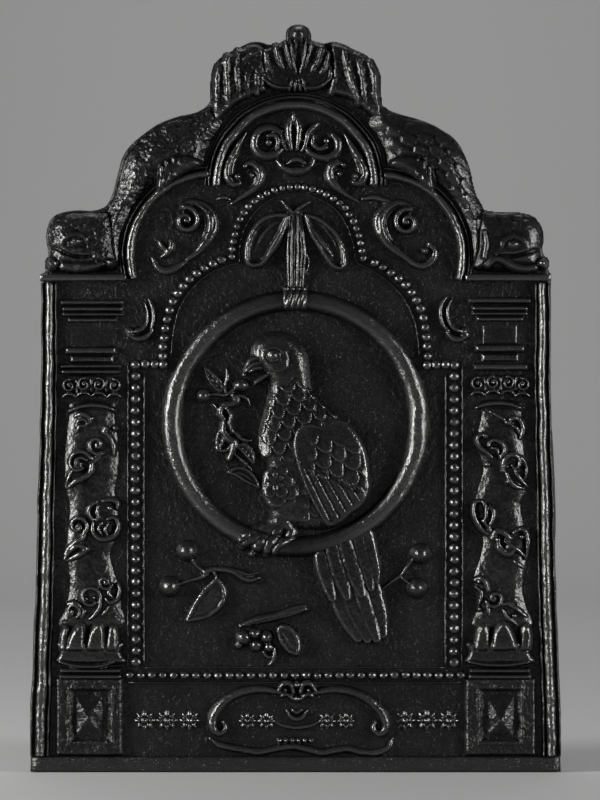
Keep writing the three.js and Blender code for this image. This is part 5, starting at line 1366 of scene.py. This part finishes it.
BOTTOM_LEAVES = {
    LEFT: ([
        (volute(105.6, 582, 340, -1.2, 1.8, 7.4, 2.2, 0.8), 5.2),
        ([(118.5, 583.5, 1.8), (119.6, 591, 2.6), (117, 599, 2.8), (110.5, 602.2, 2.6),
            (106, 598, 1.8)], 5.2),
        ([(111.5, 588, 1.6), (109, 593, 2.6), (112.5, 596.5, 1.8)], 5.0),
        (volute(91.2, 597, 330, 0.95, 7.4, 10.2, 2.3, 0.9), 5.4),
        ([(101.6, 600, 2.0), (99.5, 608, 2.8), (94.5, 615, 2.4), (89, 619.5, 1.2)], 5.4),
        ([(108.5, 606, 1.2), (105.5, 611.5, 2.2), (102, 615.5, 1.2)], 4.4),
        (volute(73.2, 610.8, 300, 0.9, 3.4, 7.4, 2.0, 0.9), 5.0),
        ([(68, 604, 1.8), (74.4, 602.4, 3.2), (80.5, 605.5, 2.0)], 5.0),
        ([(81.5, 607, 1.6), (85, 611, 2.6), (82, 617, 2.0)], 4.6)],
        [(105.6, 582, 3.0, 5.2), (87.4, 598.2, 2.4, 5.0), (94.6, 597.6, 2.4, 5.0), (73, 611, 2.8, 5.0),
            (64.8, 622, 3.0, 5.0)]),
    RIGHT: ([
        ([(474.5, 580, 1.8), (479.5, 577.6, 2.8), (485, 582.5, 3.0), (487.4, 590.5, 2.2)], 5.2),
        ([(475.5, 586.5, 1.6), (480, 590.5, 2.6), (481, 597, 2.6), (478.5, 604, 1.6)], 5.0),
        (volute(494.2, 598.2, 200, 1.2, 2.0, 9.0, 2.4, 0.8), 5.4),
        ([(486.2, 604.5, 2.0), (487.8, 610, 2.6), (489.5, 616, 1.2)], 4.8),
        ([(502, 604.5, 1.8), (507, 603, 2.8), (513, 606, 2.8), (520, 611, 2.6), (527.5, 617, 1.2)], 5.2),
        ([(503, 609.5, 1.8), (506, 616, 2.8), (512.5, 621, 2.2), (518, 626, 1.2)], 5.2)],
        [(478.6, 581.6, 2.8, 5.6), (494.2, 598.2, 3.2, 5.4), (513.6, 615.4, 3.0, 5.0),
            (479.5, 609, 3.0, 4.4)]),
}
BASE_LOBES = {
    LEFT: [
        ([(58.5, 652), (57.5, 640), (60, 629), (65, 623.5), (71, 627), (72, 640), (70, 652)], 9.5),
        ([(105, 652), (104, 640), (106.5, 628), (112, 622.5), (118.5, 627), (120.5, 640), (119, 652)], 9.5),
        ([(86, 652), (84.5, 640), (88.5, 629), (95, 621.5), (103, 620.5), (107, 629), (107.5, 642),
            (106, 652)], 11.2),
        ([(64.5, 652), (65, 642), (70, 630), (76.5, 622.5), (84, 620.5), (88, 628), (88, 641),
            (86.5, 652)], 12.4)],
    RIGHT: [
        ([(472, 652), (472.5, 640), (475, 628), (480, 621.5), (488, 622), (491.5, 630), (492, 642),
            (491, 652)], 10.0),
        ([(515, 652), (517, 640), (518, 629), (523.5, 621.5), (530.5, 624.5), (534, 634), (533.5, 644),
            (531, 652)], 10.0),
        ([(489.5, 652), (489, 640), (492, 628), (499, 620), (506, 619), (512, 625.5), (517, 636),
            (520, 648), (518, 652)], 12.2)],
}


def carve_pilaster(side):
    word = "left" if side == LEFT else "right"
    axis = 91.5 if side == LEFT else 500.3
    top = Carving(axis - 36, 292, axis + 36, 328, step=0.75)
    for x0, y0, x1, y1, rise in ENTABLATURE[side]:
        top.slab(x0, y0, x1, y1, rise, edge=2.4)
    top.make("entablature_carved_" + word, ["entablature_" + word], lumps=0.34, soft=3)
    neck = Carving(axis - 36, 322, axis + 36, 378, step=0.75)
    for x0, y0, x1, y1, rise in NECK[side]:
        neck.slab(x0, y0, x1, y1, rise, edge=2.6)
    neck.make("neck_carved_" + word, ["column_neck_" + word], lumps=0.34, soft=3)
    cap = Carving(axis - 36, 370, axis + 36, 407, step=0.7)
    cap.slab(axis - 24, 375, axis + 24, 392, 3.4, edge=3)
    for number, (x, y) in enumerate(CAPITAL[side]):
        turn = 1 if number < 2 else -1
        cap.rib(volute(x, y, 90, 1.15 * turn, 2.2, 6.4, 2.1, 0.8), 7.6)
        cap.dome(x, y, 3.0, 7.4)
        if number < 3:
            cap.rib([(x + 7.4, y - 5, 1.8), (x + 7.6, y + 1, 2.2), (x + 7.4, y + 7, 1.6)], 5.4)
        cap.rib([(x - 7, y + 11.5, 1.4), (x - 3, y + 8.6, 2.2), (x + 3, y + 8.6, 2.2),
                 (x + 7, y + 11.5, 1.4)], 6.0)
    cap.make("capital_carved_" + word, ["capital_" + word], lumps=0.3)

    shaft = Carving(axis - 36, 394, axis + 36, 634, step=0.9)
    shaft.form(SHAFT[side], 5.2, 14)
    shaft.rib(ASTRAGAL[side], 9.0, full=2.2)
    shaft.make("shaft_carved_" + word, ["column_shaft_" + word], lumps=0.3, pits=0.1)
    for band, leaves in (("top_", TOP_LEAVES), ("middle_", MIDDLE_LEAVES), ("bottom_", BOTTOM_LEAVES)):
        wind("leaves_" + band + word, "foliage_" + band + word, shaft, *leaves[side])

    base = Carving(axis - 38, 612, axis + 38, 682, step=0.75)
    base.form([(axis - 31, 640), (axis - 33, 652), (axis - 31.5, 664), (axis + 31.5, 664), (axis + 31, 652),
               (axis + 29, 640)], 7.4, 6)
    for outline, rise in BASE_LOBES[side]:
        depth = base.inside(outline)
        swell = rise * rounding(depth, 7.0) + np.minimum(depth, 0) * 5
        base.raise_to(np.where(depth > -2, swell, SUNK))
        base.height += np.where((depth > 0) & (depth < 4), 0.9 * np.exp(-((depth - 1.6) / 0.9) ** 2), 0)
    for x in (axis - 24, axis - 7.5, axis + 9.3):
        base.dome(x, 650.5, 2.6, 9.4)
    sag = 1.8 if side == LEFT else 0.6
    base.rib([(axis - 31.5, 661.4, 2.0), (axis - 14, 663.6 + sag, 2.6), (axis + 8, 663.8 + sag, 2.6),
              (axis + 22 + 6 * (side == RIGHT), 661.6, 2.0)], 11.4, full=1.8)
    base.slab(axis - 32, 667.4, axis + 30.5, 673.2, 8.6, edge=2.8)
    base.slab(axis - 33, 673.4, axis + 31.5, 679.4, 6.6, edge=2.8)
    base.make("column_base_carved_" + word, ["column_base_" + word], lumps=0.24)

    block = Carving(axis - 40, 672, axis + 40, 762, step=0.8)
    block.slab(axis - 35.5, 677.5, axis + 31.5 + 4 * (side == RIGHT), 755.4, 5.4, edge=3.0)
    frame_depth = block.within(axis - 19.6, 689.5, axis + 19, 740)
    block.height -= 3.4 * np.clip(frame_depth / 3.4 + 0.5, 0, 1)
    block.height += 1.1 * np.exp(-((frame_depth + 2.2) / 1.8) ** 2)
    block.make("pedestal_carved_" + word, ["pedestal_" + word], lumps=0.4, material=GROUND)
    boss = Carving(axis - 19, 688, axis + 19, 744, step=0.7)
    boss.lie_on(np.full(boss.x.shape, 1.7))
    peak_x, peak_y = axis - 2.5 * (side == LEFT), 717.0 + 3 * (side == RIGHT)
    lean = np.where(boss.y < peak_y, (peak_y - boss.y) / (peak_y - 693),
                    (boss.y - peak_y) / (738.5 - peak_y))
    slope = np.maximum(np.abs(boss.x - peak_x) / 15.0, lean)
    boss.raise_to(np.where(slope < 1.2, 1.4 + 8.6 * (1 - slope), SUNK))
    boss.make("diamond_carved_" + word, ["diamond_boss_" + word], material=PITTED, lumps=0.3)


def wind(name, node, shaft, ribs, eyes):
    """One band of leaf scrolls lying on a shaft."""
    leaf = shaft.over()
    floor = np.maximum(shaft.height, 2.4)
    for points, rise in ribs:
        away, _, _, half = leaf.trace([(x, y, width * 1.12) for x, y, width in points])
        widest = max(point[2] for point in points) * 1.12
        top = floor + rise * np.minimum(half / widest, 1) ** 0.5 * (1 - away ** 2)
        leaf.raise_to(np.where(away < 1.6, top, leaf.ground + SUNK))
    for x, y, radius, rise in eyes:
        away = np.hypot(leaf.x - x, leaf.y - y) / radius
        leaf.raise_to(np.where(away < 1.6, floor + rise * (1 - away ** 2), leaf.ground + SUNK))
    leaf.make(name, [node], lumps=0.2, limit=14.8)


# ---- Base panel ----

def rosette(carving, x, y, radius, rise, petals=8):
    """A small flower: petals round a button."""
    reach = np.hypot(carving.x - x, carving.y - y) / radius
    turn = np.arctan2(carving.y - y, carving.x - x)
    edge = 0.86 + 0.14 * np.cos(petals * turn)
    cup = 0.72 + 0.28 * np.cos(petals * turn) * np.clip(reach, 0, 1)
    top = rise * (1 - np.clip(reach / edge, 0, 2) ** 3) * cup
    carving.raise_to(np.where(reach < 1.3, top, SUNK))
    ring = np.exp(-((reach - 0.36) / 0.09) ** 2)
    carving.height -= np.where(reach < 1, ring * rise * 0.5, 0)
    carving.dome(x, y, radius * 0.27, rise * 1.15)


def carve_base_panel():
    scroll = Carving(204, 674, 396, 762, step=0.8)
    scroll.rib([(284, 693, 3.0), (272, 690.5, 4.0), (258, 689.3, 4.6), (243, 691.5, 5.0), (229, 698, 5.2),
        (219, 707, 5.6), (213, 718, 5.8), (213.5, 728.5, 5.2), (220, 733, 4.2), (225.5, 728, 3.4),
        (222.5, 721.5, 2.4)], 6.8, full=2.2)
    scroll.rib([(311, 693, 3.0), (322, 690.7, 4.0), (337, 689.5, 4.6), (352, 692, 5.0), (366, 698, 5.2),
        (377, 707, 5.6), (384.5, 717.5, 5.8), (385.5, 728.5, 5.2), (379.5, 733.5, 4.2), (373.5, 728.5, 3.4),
        (376, 722, 2.4)], 6.8, full=2.2)
    scroll.rib([(210, 738, 1.6), (219, 744.5, 3.8), (232, 747.5, 4.2), (246, 750, 4.2), (260, 751.8, 4.2),
        (270, 750, 4.0), (282, 747.5, 4.2), (295, 746.5, 4.4), (309, 749.5, 4.2), (321, 752.5, 4.2),
        (334, 750.5, 4.2), (348, 749, 4.2), (362, 752, 4.2), (376, 752.5, 4.0), (389, 747, 3.2),
        (392.5, 738, 1.4)], 5.4)
    for side in (LEFT, RIGHT):
        knot = lambda points: [(297 + side * x, y, width) for x, y, width in points]
        scroll.rib(knot([(19, 691, 2.0), (13.5, 683.5, 4.2), (6, 684.5, 4.2), (3.5, 692, 3.4)]), 8.4)
        scroll.rib(knot([(16, 696, 1.8), (10, 694, 3.2), (4, 698.5, 3.0)]), 7.0)
        scroll.dome(297 + side * 11.5, 689.5, 3.0, 8.6)
    scroll.dome(297, 684.5, 5.0, 9.4)
    scroll.dome(297, 698.5, 4.6, 7.8)
    scroll.rib([(287, 710.5, 1.8), (291, 716.5, 3.0), (297, 719, 3.4), (303, 716.5, 3.0),
        (307, 710.5, 1.8)], 5.2)
    scroll.rib([(292, 709.5, 1.4), (297, 712.5, 2.4), (302, 709.5, 1.4)], 4.6)
    for x in (279.5, 286, 292.3, 298.4, 304.7, 311):
        scroll.dome(x, 740.3 + 0.5 * math.sin(x), 3.3, 5.4)
    scroll.make("cartouche_carved", ["cartouche"], lumps=0.3)
    sprig = Carving(236, 700, 360, 742, step=0.8)
    for x in (247.5, 266.5, 327, 346):
        rosette(sprig, x, 721, 9.2, 4.2)
    sprig.rib([(276, 722, 1.2), (283, 725.5, 2.2), (297, 727.5, 2.6), (311, 725.5, 2.2), (318, 722, 1.2)],
        3.6)
    sprig.make("cartouche_flowers", ["cartouche_rosettes"], lumps=0.25)
    for word, places in (("left", (144.5, 167, 189.5)), ("right", (405, 427, 449))):
        row = Carving(places[0] - 18, 700, places[-1] + 18, 742, step=0.8)
        for x in places:
            rosette(row, x, 720.5, 10.8, 4.2)
        row.make("base_flowers_" + word, ["base_rosettes_" + word], lumps=0.25)


carve_shell()
carve_drapery()
carve_palmette()
carve_side_scrolls()
carve_shoulder_scrolls()
carve_consoles()
carve_bow()
carve_tie()
carve_wing(carve_parrot())
carve_tail()
carve_feet()
carve_branch()
carve_sprigs()
carve_fruit()
carve_base_panel()
for side in (LEFT, RIGHT):
    carve_dolphin(side)
    carve_pilaster(side)


# ---- The studio ----

def studio():
    """A pale floor that bends up into a backdrop, soft lamps left, right and behind, and the camera."""
    front, bend, rise, top, half_width = -2.2, 2.6, 2.4, 4.4, 3.2
    profile = [(front, 0.0), (bend, 0.0)]
    for angle in np.linspace(0.05, math.pi / 2, 24):
        profile.append((bend + rise * math.sin(angle), rise - rise * math.cos(angle)))
    profile.append((bend + rise, top))
    mesh = bpy.data.meshes.new("studio_floor")
    corners = [(x, y, z) for y, z in profile for x in (-half_width, half_width)]
    strips = [[2 * i, 2 * i + 1, 2 * i + 3, 2 * i + 2] for i in range(len(profile) - 1)]
    mesh.from_pydata(corners, [], strips)
    mesh.polygons.foreach_set("use_smooth", [True] * len(mesh.polygons))
    mesh.materials.append(plain("studio_paper", (0.37, 0.37, 0.365), 0.9))
    floor = bpy.data.objects.new("studio_floor", mesh)
    bpy.context.scene.collection.objects.link(floor)
    floor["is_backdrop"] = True

    def lamp(name, place, target, size, power):
        light = bpy.data.lights.new(name, "AREA")
        light.shape = "RECTANGLE"
        light.size, light.size_y = size
        light.energy = power
        holder = bpy.data.objects.new(name, light)
        bpy.context.scene.collection.objects.link(holder)
        holder.location = place
        holder.rotation_euler = (Vector(target) - Vector(place)).to_track_quat("-Z", "Y").to_euler()

    lamp("lamp_left", (-1.9, -0.62, 0.72), (0, 0, 0.42), (0.42, 1.2), 66)
    lamp("lamp_right", (1.95, -0.72, 0.62), (0, 0, 0.36), (0.32, 1.2), 42)
    lamp("lamp_behind", (0.0, 1.6, 3.4), (0, 4.3, 0.9), (2.2, 0.8), 70)

    world = bpy.data.worlds.new("studio_air")
    bpy.context.scene.world = world
    world.use_nodes = True
    world.node_tree.nodes["Background"].inputs["Color"].default_value = (0.9, 0.92, 0.95, 1)
    world.node_tree.nodes["Background"].inputs["Strength"].default_value = 0.125

    camera = bpy.data.cameras.new("camera")
    camera.sensor_fit = "VERTICAL"
    camera.sensor_height = 36
    distance, seen_height = 3.0, 0.8
    camera.lens = camera.sensor_height * distance / seen_height
    camera.clip_end = 20
    holder = bpy.data.objects.new("camera", camera)
    bpy.context.scene.collection.objects.link(holder)
    view_x, view_y = 300, 400
    holder.location = ((view_x - SHEET_MIDDLE) * MM, FACE * MM - distance, (SHEET_FOOT - view_y) * MM)
    holder.rotation_euler = (math.pi / 2, 0, 0)
    bpy.context.scene.camera = holder


studio()
bpy.context.scene.view_settings.view_transform = "Standard"

({"cad": [list(map(float, corner)) for corner in cad_box],
           "visual": [list(map(float, corner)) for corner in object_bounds()]})
